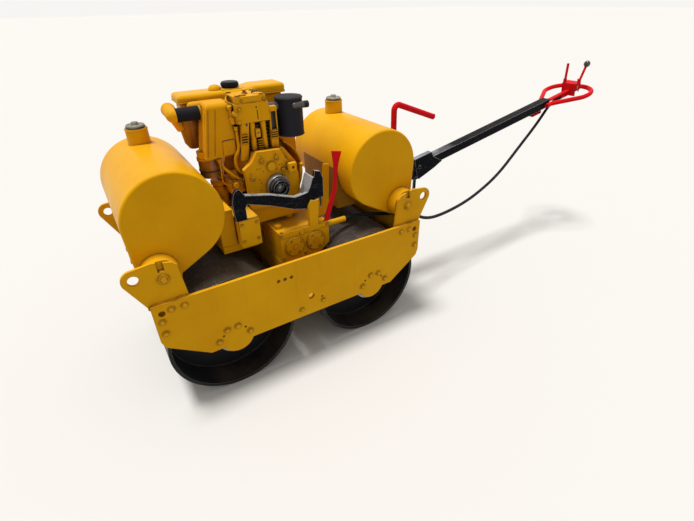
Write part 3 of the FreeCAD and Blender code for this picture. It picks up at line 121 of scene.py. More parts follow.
class Tree:
    """Short ways to add and join the nodes of one tree."""

    def __init__(self, tree):
        self.tree = tree

    def feed(self, socket, value):
        if isinstance(value, bpy.types.NodeSocket):
            self.tree.links.new(value, socket)
        elif hasattr(value, "__len__") and socket.type == "RGBA":
            socket.default_value = (*value[:3], 1.0)
        else:
            socket.default_value = value

    def add(self, kind, inputs=None, **settings):
        node = self.tree.nodes.new(kind)
        for name, value in settings.items():
            setattr(node, name, value)
        for name, value in (inputs or {}).items():
            self.feed(node.inputs[name], value)
        return node

    def maths(self, operation, first, second=0.0, clamp=False):
        node = self.add("ShaderNodeMath", {0: first, 1: second}, operation=operation,
                        use_clamp=clamp)
        return node.outputs[0]

    def spread(self, value, low, high, start=0.0, end=1.0):
        """A value read between low and high, laid out from start to end."""
        node = self.add("ShaderNodeMapRange", {"Value": value, "From Min": low, "From Max": high,
                                               "To Min": start, "To Max": end})
        return node.outputs["Result"]

    def noise(self, vector, scale, detail=3.0, roughness=0.55, stretch=None):
        if stretch:
            vector = self.add("ShaderNodeMapping", {"Vector": vector, "Scale": stretch}
                              ).outputs["Vector"]
        node = self.add("ShaderNodeTexNoise", {"Vector": vector, "Scale": scale,
                                               "Detail": detail, "Roughness": roughness})
        return node.outputs["Fac"]

    def blend(self, mask, first, second):
        """The first colour, covered by the second where the mask is 1."""
        node = self.add("ShaderNodeMix", data_type="RGBA", clamp_factor=True)
        self.feed(node.inputs[0], mask)
        self.feed(node.inputs[6], first)
        self.feed(node.inputs[7], second)
        return node.outputs[2]


def effect(name, inputs, outputs):
    """A shader node group with named float inputs and outputs, and its two end nodes."""
    group = bpy.data.node_groups.new(name, "ShaderNodeTree")
    for label, default in inputs.items():
        socket = group.interface.new_socket(label, in_out="INPUT", socket_type="NodeSocketFloat")
        socket.default_value = default
    for label in outputs:
        group.interface.new_socket(label, in_out="OUTPUT", socket_type="NodeSocketFloat")
    tree = Tree(group)
    return tree, tree.add("NodeGroupInput"), tree.add("NodeGroupOutput")


def make_dust_effect():
    """Dust that settles on faces that look up, in soft patches."""
    tree, given, result = effect("Settled dust", {"Amount": 0.4, "Patch scale": 5.0}, ["Mask"])
    place = tree.add("ShaderNodeTexCoord")
    up = tree.add("ShaderNodeSeparateXYZ", {"Vector": place.outputs["Normal"]}).outputs["Z"]
    lying = tree.spread(up, 0.15, 0.95)
    patches = tree.spread(tree.noise(place.outputs["Object"], given.outputs["Patch scale"], 6.0,
                                     0.62), 0.38, 0.68)
    specks = tree.spread(tree.noise(place.outputs["Object"], 160.0, 2.0), 0.45, 0.75)
    cover = tree.maths("ADD", tree.maths("MULTIPLY", lying, patches),
                       tree.maths("MULTIPLY", specks, 0.18))
    mask = tree.maths("MULTIPLY", cover, given.outputs["Amount"], clamp=True)
    tree.feed(result.inputs["Mask"], mask)


def make_edge_effect():
    """Wear along edges: where the rounded normal leaves the true one, broken up by noise."""
    tree, given, result = effect("Edge wear", {"Amount": 0.6, "Width": 0.004, "Scale": 90.0},
                                 ["Mask"])
    place = tree.add("ShaderNodeTexCoord")
    rounded = tree.add("ShaderNodeBevel", {"Radius": given.outputs["Width"]}, samples=4)
    true = tree.add("ShaderNodeNewGeometry")
    dot = tree.add("ShaderNodeVectorMath", {0: rounded.outputs["Normal"],
                                            1: true.outputs["Normal"]}, operation="DOT_PRODUCT")
    edge = tree.spread(tree.maths("SUBTRACT", 1.0, dot.outputs["Value"]), 0.02, 0.16)
    broken = tree.noise(place.outputs["Object"], given.outputs["Scale"], 5.0, 0.7)
    limit = tree.maths("SUBTRACT", 1.02, tree.maths("MULTIPLY", given.outputs["Amount"], 0.6))
    mask = tree.spread(tree.maths("ADD", tree.maths("MULTIPLY", edge, 0.55), broken),
                       limit, tree.maths("ADD", limit, 0.07))
    tree.feed(result.inputs["Mask"], tree.maths("MULTIPLY", mask, edge, clamp=True))


def make_grime_and_shade_effect():
    """Dirt and painted shade that gather in corners, where ambient occlusion darkens them, and dirt
    that runs down in thin streaks.
    """
    tree, given, result = effect("Grime", {"Amount": 0.5, "Reach": 0.03}, ["Mask", "Streaks"])
    place = tree.add("ShaderNodeTexCoord")
    # Painted shade: ambient occlusion darkens corners and recesses as shade would, and the noise
    # below mixes it with dirt.
    corner = tree.add("ShaderNodeAmbientOcclusion", {"Distance": given.outputs["Reach"]},
                      samples=4)
    corner_shade = tree.spread(corner.outputs["AO"], 0.25, 0.85, 1.0, 0.0)
    cloud = tree.spread(tree.noise(place.outputs["Object"], 22.0, 6.0, 0.65), 0.3, 0.62)
    mask = tree.maths("MULTIPLY", tree.maths("MULTIPLY", corner_shade, cloud), given.outputs["Amount"],
                      clamp=True)
    tree.feed(result.inputs["Mask"], mask)
    runs = tree.noise(place.outputs["Object"], 26.0, 4.0, 0.6, (1.0, 1.0, 0.07))
    tree.feed(result.inputs["Streaks"],
              tree.maths("MULTIPLY", tree.spread(runs, 0.56, 0.74), given.outputs["Amount"],
                         clamp=True))


def make_skin_effect():
    """The small unevenness of sprayed paint or cast metal, and slow changes of tone."""
    tree, given, result = effect("Skin", {"Grain": 420.0, "Grain depth": 0.3}, ["Height", "Tone"])
    place = tree.add("ShaderNodeTexCoord")
    fine = tree.noise(place.outputs["Object"], given.outputs["Grain"], 2.0)
    slow = tree.noise(place.outputs["Object"], 9.0, 2.0)
    height = tree.maths("ADD", tree.maths("MULTIPLY", fine, given.outputs["Grain depth"]), slow)
    tree.feed(result.inputs["Height"], height)
    tree.feed(result.inputs["Tone"],
              tree.spread(tree.noise(place.outputs["Object"], 3.5, 7.0, 0.6), 0.3, 0.72))


def make_scratch_effect():
    """Fine scratches in two directions."""
    tree, given, result = effect("Scratches", {"Amount": 0.4, "Scale": 14.0}, ["Mask"])
    place = tree.add("ShaderNodeTexCoord")
    masks = [tree.spread(tree.noise(place.outputs["Object"], given.outputs["Scale"], 3.0, 0.6,
                                    stretch), 0.60, 0.66)
             for stretch in ((1.0, 14.0, 14.0), (9.0, 1.2, 16.0))]
    tree.feed(result.inputs["Mask"],
              tree.maths("MULTIPLY", tree.maths("MAXIMUM", *masks), given.outputs["Amount"],
                         clamp=True))


def place_effect(tree, name, **values):
    """A group node of a shared effect with this material's own values."""
    node = tree.add("ShaderNodeGroup", node_tree=bpy.data.node_groups[name])
    for label, value in values.items():
        tree.feed(node.inputs[label.replace("_", " ").capitalize()], value)
    return node


# Finishes

FINISH_PREFIX = "finish_"     # keeps these apart from the slots' materials


class Finish:
    """A material under construction: colour layers, roughness, metal and height, then a shader."""

    def __init__(self, name):
        self.material = bpy.data.materials.new(FINISH_PREFIX + name)
        self.material.use_nodes = True
        self.material.node_tree.nodes.clear()
        self.tree = Tree(self.material.node_tree)
        self.metal = 0.0

    def skin(self, light, dark, rough, grain=420.0, depth=0.3):
        node = place_effect(self.tree, "Skin", grain=grain, grain_depth=depth)
        self.height = node.outputs["Height"]
        self.base = self.tree.blend(node.outputs["Tone"], dark, light)
        self.rough = self.tree.spread(node.outputs["Tone"], 0.0, 1.0, rough * 1.2, rough * 0.85)
        return self

    def layer(self, mask, tint, rough=None, metal=None):
        """Cover the finish with another colour, roughness and metal where the mask is 1."""
        tree = self.tree
        self.base = tree.blend(mask, self.base, tint)
        if rough is not None:
            self.rough = self.mixed(mask, self.rough, rough)
        if metal is not None:
            self.metal = self.mixed(mask, self.metal, metal)
        return self

    def mixed(self, mask, first, second):
        node = self.tree.add("ShaderNodeMix", data_type="FLOAT", clamp_factor=True)
        for index, value in ((0, mask), (2, first), (3, second)):
            self.tree.feed(node.inputs[index], value)
        return node.outputs[0]

    def effect(self, name, output, tint, rough=None, metal=None, **values):
        node = place_effect(self.tree, name, **values)
        return self.layer(node.outputs[output], tint, rough, metal)

    def done(self, bump=0.0006, **constants):
        """Join everything to the shader; constants are set on the shader's own sockets."""
        tree = self.tree
        shader = tree.add("ShaderNodeBsdfPrincipled")
        tree.feed(shader.inputs["Base Color"], self.base)
        tree.feed(shader.inputs["Roughness"], self.rough)
        tree.feed(shader.inputs["Metallic"], self.metal)
        for label, value in constants.items():
            shader.inputs[label.replace("_", " ").title().replace("Ior", "IOR")
                          ].default_value = value
        relief = tree.add("ShaderNodeBump", {"Height": self.height, "Distance": bump,
                                             "Strength": 1.0})
        tree.feed(shader.inputs["Normal"], relief.outputs["Normal"])
        result = tree.add("ShaderNodeOutputMaterial")
        tree.feed(result.inputs["Surface"], shader.outputs["BSDF"])
        return self.material


def make_yellow(name="yellow_enamel", dirt_and_shade=0.45, dusty=0.6, rough=0.36, depth=0.3, warm=1.0):
    look = paint()
    light, dark = ((tint[0], tint[1] * warm, tint[2]) for tint in (look.yellow, look.yellow_aged))
    finish = Finish(name).skin(light, dark, rough, depth=depth)
    finish.effect("Grime", "Streaks", (0.34, 0.13, 0.008), 0.6, amount=dirt_and_shade * 0.30, reach=0.03)
    # Grime and painted shade in corners, from ambient occlusion over about 3 cm.
    finish.effect("Grime", "Mask", look.grime_and_shade, 0.7, amount=dirt_and_shade * 1.7, reach=0.032)
    # Painted shade with some dirt: a near-black ring in tight corners, such as round bolt heads, from
    # a short occlusion reach.
    finish.effect("Grime", "Mask", (0.030, 0.014, 0.005), 0.7, amount=0.6 + dirt_and_shade, reach=0.007)
    finish.effect("Settled dust", "Mask", look.dust, 0.75, amount=look.dusty * dusty,
                  patch_scale=5.0)
    finish.effect("Edge wear", "Mask", (0.16, 0.085, 0.03), 0.55, amount=look.wear, width=0.003,
                  scale=85.0)
    return finish.done(specular_ior_level=0.05)


def make_tank_enamel():
    """The tanks' smooth enamel, cleaner than the frame's, with a few grease marks and a little
    painted shade in its corners.
    """
    return make_yellow("tank_enamel", dirt_and_shade=0.22, dusty=0.25, rough=0.32, depth=0.15)


def make_engine_yellow():
    """The same enamel sprayed over castings, with more oil and dirt on it and more painted shade in
    its corners and recesses.
    """
    return make_yellow("engine_enamel", dirt_and_shade=1.0, dusty=0.5, rough=0.42, depth=0.8, warm=0.94)


def make_black(name="black_paint", worn=0.75, rough=0.36, bare=0.0):
    look = paint()
    finish = Finish(name).skin(look.black, tuple(v * 1.5 for v in look.black), rough)
    finish.effect("Scratches", "Mask", (0.11, 0.11, 0.12), 0.5, amount=0.30 * worn, scale=14.0)
    if bare:
        place = finish.tree.add("ShaderNodeTexCoord")
        # Pale steel patches: rubbed paint, and on the guard bar's upward faces a painted highlight
        # too.
        rubbed_and_sheen = finish.tree.spread(finish.tree.noise(place.outputs["Object"], 38.0, 7.0, 0.7),
                                    0.60 - bare * 0.35, 0.72 - bare * 0.35)
        finish.layer(rubbed_and_sheen, (0.44, 0.45, 0.48), 0.42, 0.35)
    finish.effect("Settled dust", "Mask", look.dust, 0.8, amount=look.dusty * 0.10,
                  patch_scale=7.0)
    finish.effect("Edge wear", "Mask", look.steel, 0.38, 0.9, amount=worn, width=0.0030,
                  scale=60.0)
    return finish.done(specular_ior_level=0.02)


def make_guard_black():
    return make_black("guard_paint", worn=1.1, rough=0.34)


def make_worn_and_highlight_black():
    """Black paint rubbed through to bright steel in ragged patches; on the guard bar it also stands
    for a painted highlight.
    """
    return make_black("worn_paint", worn=1.2, rough=0.34, bare=0.75)


def make_drawbar_black():
    """The drawbar's black, pale on its upper face near the hinge: rubbed paint and a painted sheen.
    """
    look = paint()
    finish = Finish("drawbar_paint").skin(look.black, tuple(v * 1.5 for v in look.black), 0.36)
    tree = finish.tree
    place = tree.add("ShaderNodeTexCoord")
    along = tree.add("ShaderNodeSeparateXYZ", {"Vector": place.outputs["Object"]}).outputs["X"]
    up = tree.add("ShaderNodeSeparateXYZ", {"Vector": place.outputs["Normal"]}).outputs["Z"]
    near = tree.spread(along, -1.06, -0.92)
    patches = tree.spread(tree.noise(place.outputs["Object"], 16.0, 6.0, 0.62), 0.30, 0.62)
    # Pale blue-grey on upward faces near the hinge: partly rubbed paint, partly painted sheen of the
    # top.
    rubbed_and_sheen = tree.maths("MULTIPLY", tree.maths("MULTIPLY", near, tree.spread(up, 0.6, 0.9)),
                        patches, clamp=True)
    finish.layer(rubbed_and_sheen, (0.29, 0.31, 0.35), 0.5, 0.25)
    finish.effect("Scratches", "Mask", (0.11, 0.11, 0.12), 0.5, amount=0.25, scale=12.0)
    finish.effect("Settled dust", "Mask", look.dust, 0.8, amount=look.dusty * 0.1, patch_scale=7.0)
    finish.effect("Edge wear", "Mask", look.steel, 0.38, 0.9, amount=0.7, width=0.0030, scale=55.0)
    return finish.done(specular_ior_level=0.02)


def make_shade_painted_enamel():
    """Enamel painted dark as shade, for the box under the rear tank, with painted shade and grime in
    its corners and a little dust.
    """
    look = paint()
    # Painted shade: these dark yellows stand for the shade under the rear tank.
    finish = Finish("soiled_enamel").skin((0.340, 0.165, 0.004), (0.210, 0.095, 0.003), 0.5,
                                          depth=0.8)
    finish.effect("Grime", "Mask", look.grime_and_shade, 0.7, amount=1.0, reach=0.05)
    finish.effect("Settled dust", "Mask", look.dust, 0.8, amount=look.dusty * 0.3,
                  patch_scale=6.0)
    return finish.done(specular_ior_level=0.1)


def make_red():
    look = paint()
    finish = Finish("red_paint").skin(look.red, tuple(v * 0.72 for v in look.red), 0.32)
    finish.effect("Scratches", "Mask", (0.20, 0.010, 0.010), 0.5, amount=0.3, scale=18.0)
    finish.effect("Settled dust", "Mask", look.dust, 0.8, amount=look.dusty * 0.03,
                  patch_scale=9.0)
    finish.effect("Edge wear", "Mask", (0.10, 0.035, 0.03), 0.55, amount=look.wear, width=0.003,
                  scale=110.0)
    return finish.done(specular_ior_level=0.02)


def make_drum_face():
    """The rolling face: rubbed steel with dry soil in broad patches and fine scratches."""
    look = paint()
    finish = Finish("drum_face").skin((0.060, 0.046, 0.032), (0.026, 0.021, 0.017), 0.55,
                                      grain=260.0, depth=0.7)
    place = finish.tree.add("ShaderNodeTexCoord").outputs["Object"]
    bands = finish.tree.noise(place, 7.0, 5.0, 0.6, (1.0, 7.0, 1.0))
    finish.layer(finish.tree.spread(bands, 0.45, 0.72, 0.0, 0.55), (0.15, 0.105, 0.060), 0.85)
    finish.effect("Scratches", "Mask", (0.20, 0.19, 0.18), 0.4, 0.6, amount=0.5, scale=20.0)
    finish.effect("Edge wear", "Mask", look.steel, 0.35, 0.9, amount=0.9, width=0.0035, scale=60.0)
    return finish.done(bump=0.0010, specular_ior_level=0.3)


def make_drum_black():
    """Black paint inside the drums, greyed by dust and scuffed."""
    look = paint()
    finish = Finish("drum_paint").skin(look.black, tuple(v * 1.7 for v in look.black), 0.5)
    finish.effect("Settled dust", "Mask", (0.16, 0.11, 0.06), 0.85, amount=0.30, patch_scale=6.0)
    finish.effect("Edge wear", "Mask", (0.14, 0.11, 0.08), 0.5, 0.4, amount=0.6, width=0.0035,
                  scale=60.0)
    return finish.done(specular_ior_level=0.2)


def make_metal(name, tint, dark, rough, metal=0.85, rust=0.4):
    finish = Finish(name).skin(tint, dark, rough, grain=300.0, depth=0.5)
    finish.metal = metal
    place = finish.tree.add("ShaderNodeTexCoord").outputs["Object"]
    spots = finish.tree.spread(finish.tree.noise(place, 30.0, 7.0, 0.7), 0.52, 0.68, 0.0, rust)
    finish.layer(spots, (0.13, 0.055, 0.022), 0.85, 0.0)
    # Grime and painted shade in corners, from ambient occlusion.
    finish.effect("Grime", "Mask", paint().grime_and_shade, 0.75, 0.0, amount=0.7, reach=0.02)
    return finish.done()


def make_steel():
    steel = paint().steel
    return make_metal("bare_steel", steel, tuple(v * 0.55 for v in steel), 0.38)


def make_iron():
    return make_metal("dark_iron", (0.06, 0.06, 0.062), (0.022, 0.022, 0.024), 0.42, 0.6, 0.15)


def make_burnt_steel():
    """The silencer's outlet, bright at its root and browned by the heat."""
    return make_metal("burnt_steel", (0.120, 0.105, 0.105), (0.030, 0.025, 0.025), 0.36, 0.6, 0.25)


def make_cap_rubber():
    return make_rubber("cap_rubber", 0.34)


def make_cap_metal():
    cap = paint().cap
    return make_metal("cap_metal", cap, tuple(v * 0.5 for v in cap), 0.48, 0.55, 0.5)


def make_silencer_coat():
    look = paint()
    finish = Finish("silencer_coat").skin(look.silencer, tuple(v * 1.8 for v in look.silencer),
                                          0.62, grain=520.0, depth=0.8)
    finish.effect("Settled dust", "Mask", look.dust, 0.85, amount=0.04, patch_scale=9.0)
    finish.effect("Edge wear", "Mask", (0.13, 0.08, 0.05), 0.7, amount=0.5, width=0.003,
                  scale=90.0)
    return finish.done(specular_ior_level=0.16)


def make_rubber(name="hose_rubber", rough=0.6):
    look = paint()
    finish = Finish(name).skin(look.rubber, tuple(v * 1.5 for v in look.rubber), rough,
                               grain=600.0, depth=0.6)
    finish.effect("Settled dust", "Mask", look.dust, 0.9, amount=0.02, patch_scale=12.0)
    return finish.done(specular_ior_level=0.06)


def make_cable_cover():
    return make_rubber("cable_cover", 0.42)


def make_oily():
    """Amber paint of the oil bowl, wet and brown with oil, and darkened in its corners by painted
    shade.
    """
    look = paint()
    finish = Finish("oily_enamel").skin((0.52, 0.20, 0.012), (0.26, 0.09, 0.008), 0.3)
    finish.effect("Grime", "Streaks", look.grime_and_shade, 0.35, amount=0.9, reach=0.04)
    # Grime and painted shade in corners, from ambient occlusion.
    finish.effect("Grime", "Mask", look.grime_and_shade, 0.5, amount=1.4, reach=0.05)
    return finish.done(coat_weight=0.3, coat_roughness=0.16, specular_ior_level=0.35)


def make_knob():
    finish = Finish("knob_plastic").skin((0.008, 0.020, 0.012), (0.004, 0.010, 0.008), 0.16,
                                         grain=200.0, depth=0.1)
    return finish.done(bump=0.0001, coat_weight=0.5, coat_roughness=0.05)


FINISHES = {
    "yellow_enamel": make_yellow, "tank_enamel": make_tank_enamel, "worn_paint": make_worn_and_highlight_black,
    "drawbar_paint": make_drawbar_black, "burnt_steel": make_burnt_steel,
    "cap_rubber": make_cap_rubber, "soiled_enamel": make_shade_painted_enamel,
    "engine_enamel": make_engine_yellow, "black_paint": make_black,
    "guard_paint": make_guard_black, "red_paint": make_red, "drum_face": make_drum_face,
    "drum_paint": make_drum_black, "bare_steel": make_steel, "dark_iron": make_iron,
    "cap_metal": make_cap_metal, "silencer_coat": make_silencer_coat, "hose_rubber": make_rubber,
    "cable_cover": make_cable_cover, "oily_enamel": make_oily, "knob_plastic": make_knob,
}


def finish_named(name):
    """The material of a finish, made when it is first asked for."""
    return bpy.data.materials.get(FINISH_PREFIX + name) or FINISHES[name]()


# Shapes

def block(low, high, rounding=0.0015, segments=2):
    """A box between two corners with rounded edges."""
    shape = bmesh.new()
    bmesh.ops.create_cube(shape, size=1.0)
    low, high = Vector(low), Vector(high)
    span = high - low
    for vertex in shape.verts:
        vertex.co = Vector(low[i] + span[i] * (vertex.co[i] + 0.5) for i in range(3))
    return soften(shape, min(rounding, min(span) * 0.4), 80, segments)


def prism(corners, ends, rounding=0.0015, segments=2):
    """An outline in the XZ plane that reaches from ends[0] to ends[1] along Y."""
    shape = bmesh.new()
    face = shape.faces.new([shape.verts.new((x, ends[0], z)) for x, z in corners])
    far = bmesh.ops.extrude_face_region(shape, geom=[face])
    moved = [item for item in far["geom"] if isinstance(item, bmesh.types.BMVert)]
    bmesh.ops.translate(shape, verts=moved, vec=(0, ends[1] - ends[0], 0))
    bmesh.ops.recalc_face_normals(shape, faces=shape.faces)
    return soften(shape, rounding, segments=segments)


def soften(shape, width, angle=35, segments=2):
    """Round the edges that are sharper than an angle."""
    sharp = [edge for edge in shape.edges
             if len(edge.link_faces) == 2 and edge.calc_face_angle(0) > math.radians(angle)]
    if sharp and width > 0:
        bmesh.ops.bevel(shape, geom=sharp, offset=width, offset_type="OFFSET", segments=segments,
                        affect="EDGES", profile=0.5, clamp_overlap=True)
    return shape


def facing(axis):
    """The turn that takes +Z to an axis."""
    return Vector((0, 0, 1)).rotation_difference(Vector(axis).normalized()).to_matrix().to_4x4()


def turned(profile, base, axis=(0, 0, 1), steps=48):
    """A turned piece: pairs of radius and height along an axis from its base."""
    shape = bmesh.new()
    rings = []
    for radius, height in profile:
        if radius < 1e-6:
            rings.append([shape.verts.new((0, 0, height))])
            continue
        rings.append([shape.verts.new((radius * math.cos(a), radius * math.sin(a), height))
                      for a in (2 * math.pi * i / steps for i in range(steps))])
    for low, high in zip(rings, rings[1:]):
        for i in range(steps):
            j = (i + 1) % steps
            corners = [low[i % len(low)], low[j % len(low)], high[j % len(high)],
                       high[i % len(high)]]
            unique = list(dict.fromkeys(corners))
            if len(unique) > 2:
                shape.faces.new(unique)
    for ring, flip in ((rings[0], True), (rings[-1], False)):
        if len(ring) > 1:
            shape.faces.new(ring[::-1] if flip else ring)
    bmesh.ops.transform(shape, matrix=Matrix.Translation(base) @ facing(axis), verts=shape.verts)
    bmesh.ops.recalc_face_normals(shape, faces=shape.faces)
    return shape


def rounded_profile(radius, height, rim, steps=4):
    """The profile of a can whose two rims are rounded."""
    arcs = [(math.sin(a), math.cos(a)) for a in (math.pi / 2 * i / steps for i in range(steps + 1))]
    low = [(radius - rim + rim * s, rim - rim * c) for s, c in arcs]
    high = [(radius - rim + rim * c, height - rim + rim * s) for s, c in arcs]
    return [(0, 0)] + low + high + [(0, height)]


def swept(points, radius, sides=14, closed=False):
    """A round tube along points; its frame is carried along without twisting."""
    spots = [Vector(point) for point in points]
    count = len(spots)
    tangents = []
    for i in range(count):
        before = spots[i - 1] if i or closed else spots[0]
        after = spots[(i + 1) % count] if i < count - 1 or closed else spots[-1]
        tangents.append((after - before).normalized())
    across = tangents[0].orthogonal().normalized()
    shape = bmesh.new()
    rings = []
    for i, (spot, tangent) in enumerate(zip(spots, tangents)):
        if i:
            across = tangents[i - 1].rotation_difference(tangent) @ across
        across = (across - tangent * across.dot(tangent)).normalized()
        over = tangent.cross(across)
        thick = radius(i / count) if callable(radius) else radius
        rings.append([shape.verts.new(spot + (across * math.cos(a) + over * math.sin(a)) * thick)
                      for a in (2 * math.pi * k / sides for k in range(sides))])
    pairs = list(zip(rings, rings[1:])) + ([(rings[-1], rings[0])] if closed else [])
    for low, high in pairs:
        for k in range(sides):
            j = (k + 1) % sides
            shape.faces.new((low[k], low[j], high[j], high[k]))
    if not closed:
        shape.faces.new(rings[0][::-1])
        shape.faces.new(rings[-1])
    bmesh.ops.recalc_face_normals(shape, faces=shape.faces)
    return shape


def flowing(points, steps=8):
    """Points on a smooth line through the given ones."""
    spots = [Vector(point) for point in points]
    spots = [spots[0] * 2 - spots[1]] + spots + [spots[-1] * 2 - spots[-2]]
    line = []
    for a, b, c, d in zip(spots, spots[1:], spots[2:], spots[3:]):
        for step in range(steps):
            t = step / steps
            line.append(0.5 * (2 * b + (c - a) * t + (2 * a - 5 * b + 4 * c - d) * t ** 2
                               + (3 * b - a - 3 * c + d) * t ** 3))
    return line + [spots[-2]]


def circle(middle, radius, way, steps=48):
    """Points on a circle about a middle, on a plane that looks along way."""
    turn = facing(way)
    return [Vector(middle) + turn @ Vector((radius * math.cos(a), radius * math.sin(a), 0))
            for a in (2 * math.pi * i / steps for i in range(steps))]


def spaced(points, step, closed=False):
    """Points laid out evenly along straight runs between the given ones."""
    spots = [Vector(point) for point in points]
    line = []
    for start, end in zip(spots, spots[1:] + ([spots[0]] if closed else [])):
        count = max(1, round((end - start).length / step))
        line += [start.lerp(end, i / count) for i in range(count)]
    return line if closed else line + [spots[-1]]


def weld(points, radius=0.0034, closed=False):
    """A weld bead with close ripples along points."""
    line = spaced(points, 0.0024, closed)
    count = len(line)
    return swept(line, lambda t: radius * (0.92 + 0.16 * math.sin(t * count * 1.9)), 7, closed)


def rounded_path(low, high, radius, z, steps=5):
    """A level rectangle with round corners."""
    path = []
    for x, y, start in ((high[0] - radius, high[1] - radius, 0.0),
                        (low[0] + radius, high[1] - radius, math.pi / 2),
                        (low[0] + radius, low[1] + radius, math.pi),
                        (high[0] - radius, low[1] + radius, 1.5 * math.pi)):
        path += [(x + radius * math.cos(a), y + radius * math.sin(a), z)
                 for a in (start + math.pi / 2 * i / steps for i in range(steps + 1))]
    return path


def frame_ring(low, high, wall):
    """A rectangular window frame that looks along Y."""
    shape = bmesh.new()
    outer = [(low[0], low[2]), (high[0], low[2]), (high[0], high[2]), (low[0], high[2])]
    inner = [(low[0] + wall, low[2] + wall), (high[0] - wall, low[2] + wall),
             (high[0] - wall, high[2] - wall), (low[0] + wall, high[2] - wall)]
    rings = [[shape.verts.new((x, y, z)) for x, z in ring]
             for ring, y in ((outer, low[1]), (outer, high[1]), (inner, high[1]), (inner, low[1]))]
    for first, second in zip(rings, rings[1:] + rings[:1]):
        for i in range(4):
            j = (i + 1) % 4
            shape.faces.new((first[i], first[j], second[j], second[i]))
    bmesh.ops.recalc_face_normals(shape, faces=shape.faces)
    return soften(shape, 0.0008)


class Piece:
    """One object under construction: shapes are added to one mesh, each with its finish."""

    def __init__(self, name):
        self.name = name
        self.whole = bmesh.new()
        self.finishes = []

    def add(self, shape, finish):
        if finish not in self.finishes:
            self.finishes.append(finish)
        for face in shape.faces:
            face.material_index = self.finishes.index(finish)
        part = bpy.data.meshes.new("part")
        shape.to_mesh(part)
        shape.free()
        self.whole.from_mesh(part)
        bpy.data.meshes.remove(part)
        return self

    def done(self, body, replaces=(), smooth=32, slot=None):
        mesh = bpy.data.meshes.new(self.name)
        self.whole.to_mesh(mesh)
        self.whole.free()
        for finish in self.finishes:
            mesh.materials.append(finish_named(finish))
        return stand(self.name, mesh, body, replaces, smooth)


def stand(name, mesh, body, replaces=(), smooth=32):
    """Link a finished mesh as a piece that rides on a body."""
    mesh.shade_smooth()
    mesh.set_sharp_from_angle(angle=math.radians(smooth))
    thing = bpy.data.objects.new(name, mesh)
    bpy.context.scene.collection.objects.link(thing)
    weighted = thing.modifiers.new("Even shading", "WEIGHTED_NORMAL")
    weighted.keep_sharp = True
    if body:
        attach(thing, body)
    if replaces:
        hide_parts(*replaces)
    return thing


def merged_copy(node):
    """A CAD piece as a bmesh with its points merged and its flat faces whole."""
    shape = bmesh.new()
    shape.from_mesh(nodes[node].data)
    bmesh.ops.remove_doubles(shape, verts=shape.verts, dist=2e-6)
    bmesh.ops.dissolve_limit(shape, angle_limit=math.radians(0.4), verts=shape.verts,
                             edges=shape.edges)
    for face in shape.faces:
        face.material_index = 0
    return shape


def cut_shape(shape, holes, cutters=()):
    """The shape with round holes (mouth, way in, radius, depth) and other cutters taken out."""
    tools = bmesh.new()
    for mouth, way, radius, depth in holes:
        drill = turned([(0, -0.002), (radius, -0.002), (radius, depth), (0, depth)], mouth, way, 20)
        cutters = (*cutters, drill)
    for cutter in cutters:
        part = bpy.data.meshes.new("cutter")
        cutter.to_mesh(part)
        cutter.free()
        tools.from_mesh(part)
        bpy.data.meshes.remove(part)
    things = []
    for name, source in (("whole", shape), ("tools", tools)):
        mesh = bpy.data.meshes.new(name)
        source.to_mesh(mesh)
        source.free()
        thing = bpy.data.objects.new(name, mesh)
        bpy.context.scene.collection.objects.link(thing)
        things.append(thing)
    whole, tool = things
    work = whole.modifiers.new("Holes", "BOOLEAN")
    work.operation = "DIFFERENCE"
    work.solver = "EXACT"
    work.object = tool
    bpy.context.view_layer.update()
    plain = bpy.data.meshes.new_from_object(whole.evaluated_get(
        bpy.context.evaluated_depsgraph_get()))
    result = bmesh.new()
    result.from_mesh(plain)
    for thing in things:
        bpy.data.objects.remove(thing)
    return result


def dressed(node, finish, edge=None, body=CHASSIS, pick=None, more=(), holes=(), cutters=()):
    """A CAD piece with softened edges and its finish; pick may give faces another finish."""
    width = sizes().edge if edge is None else edge
    shape = soften(merged_copy(node), width)
    if holes or cutters:
        shape = cut_shape(shape, holes, cutters)
    if pick:
        for face in shape.faces:
            face.material_index = pick(face)
    mesh = bpy.data.meshes.new(node + "_finished")
    shape.to_mesh(mesh)
    shape.free()
    if "custom_normal" in mesh.attributes:
        mesh.attributes.remove(mesh.attributes["custom_normal"])
    for name in (finish, *more):
        mesh.materials.append(finish_named(name))
    return stand(node + "_finished", mesh, body, [node], 32)


# Fasteners, set out by Geometry Nodes

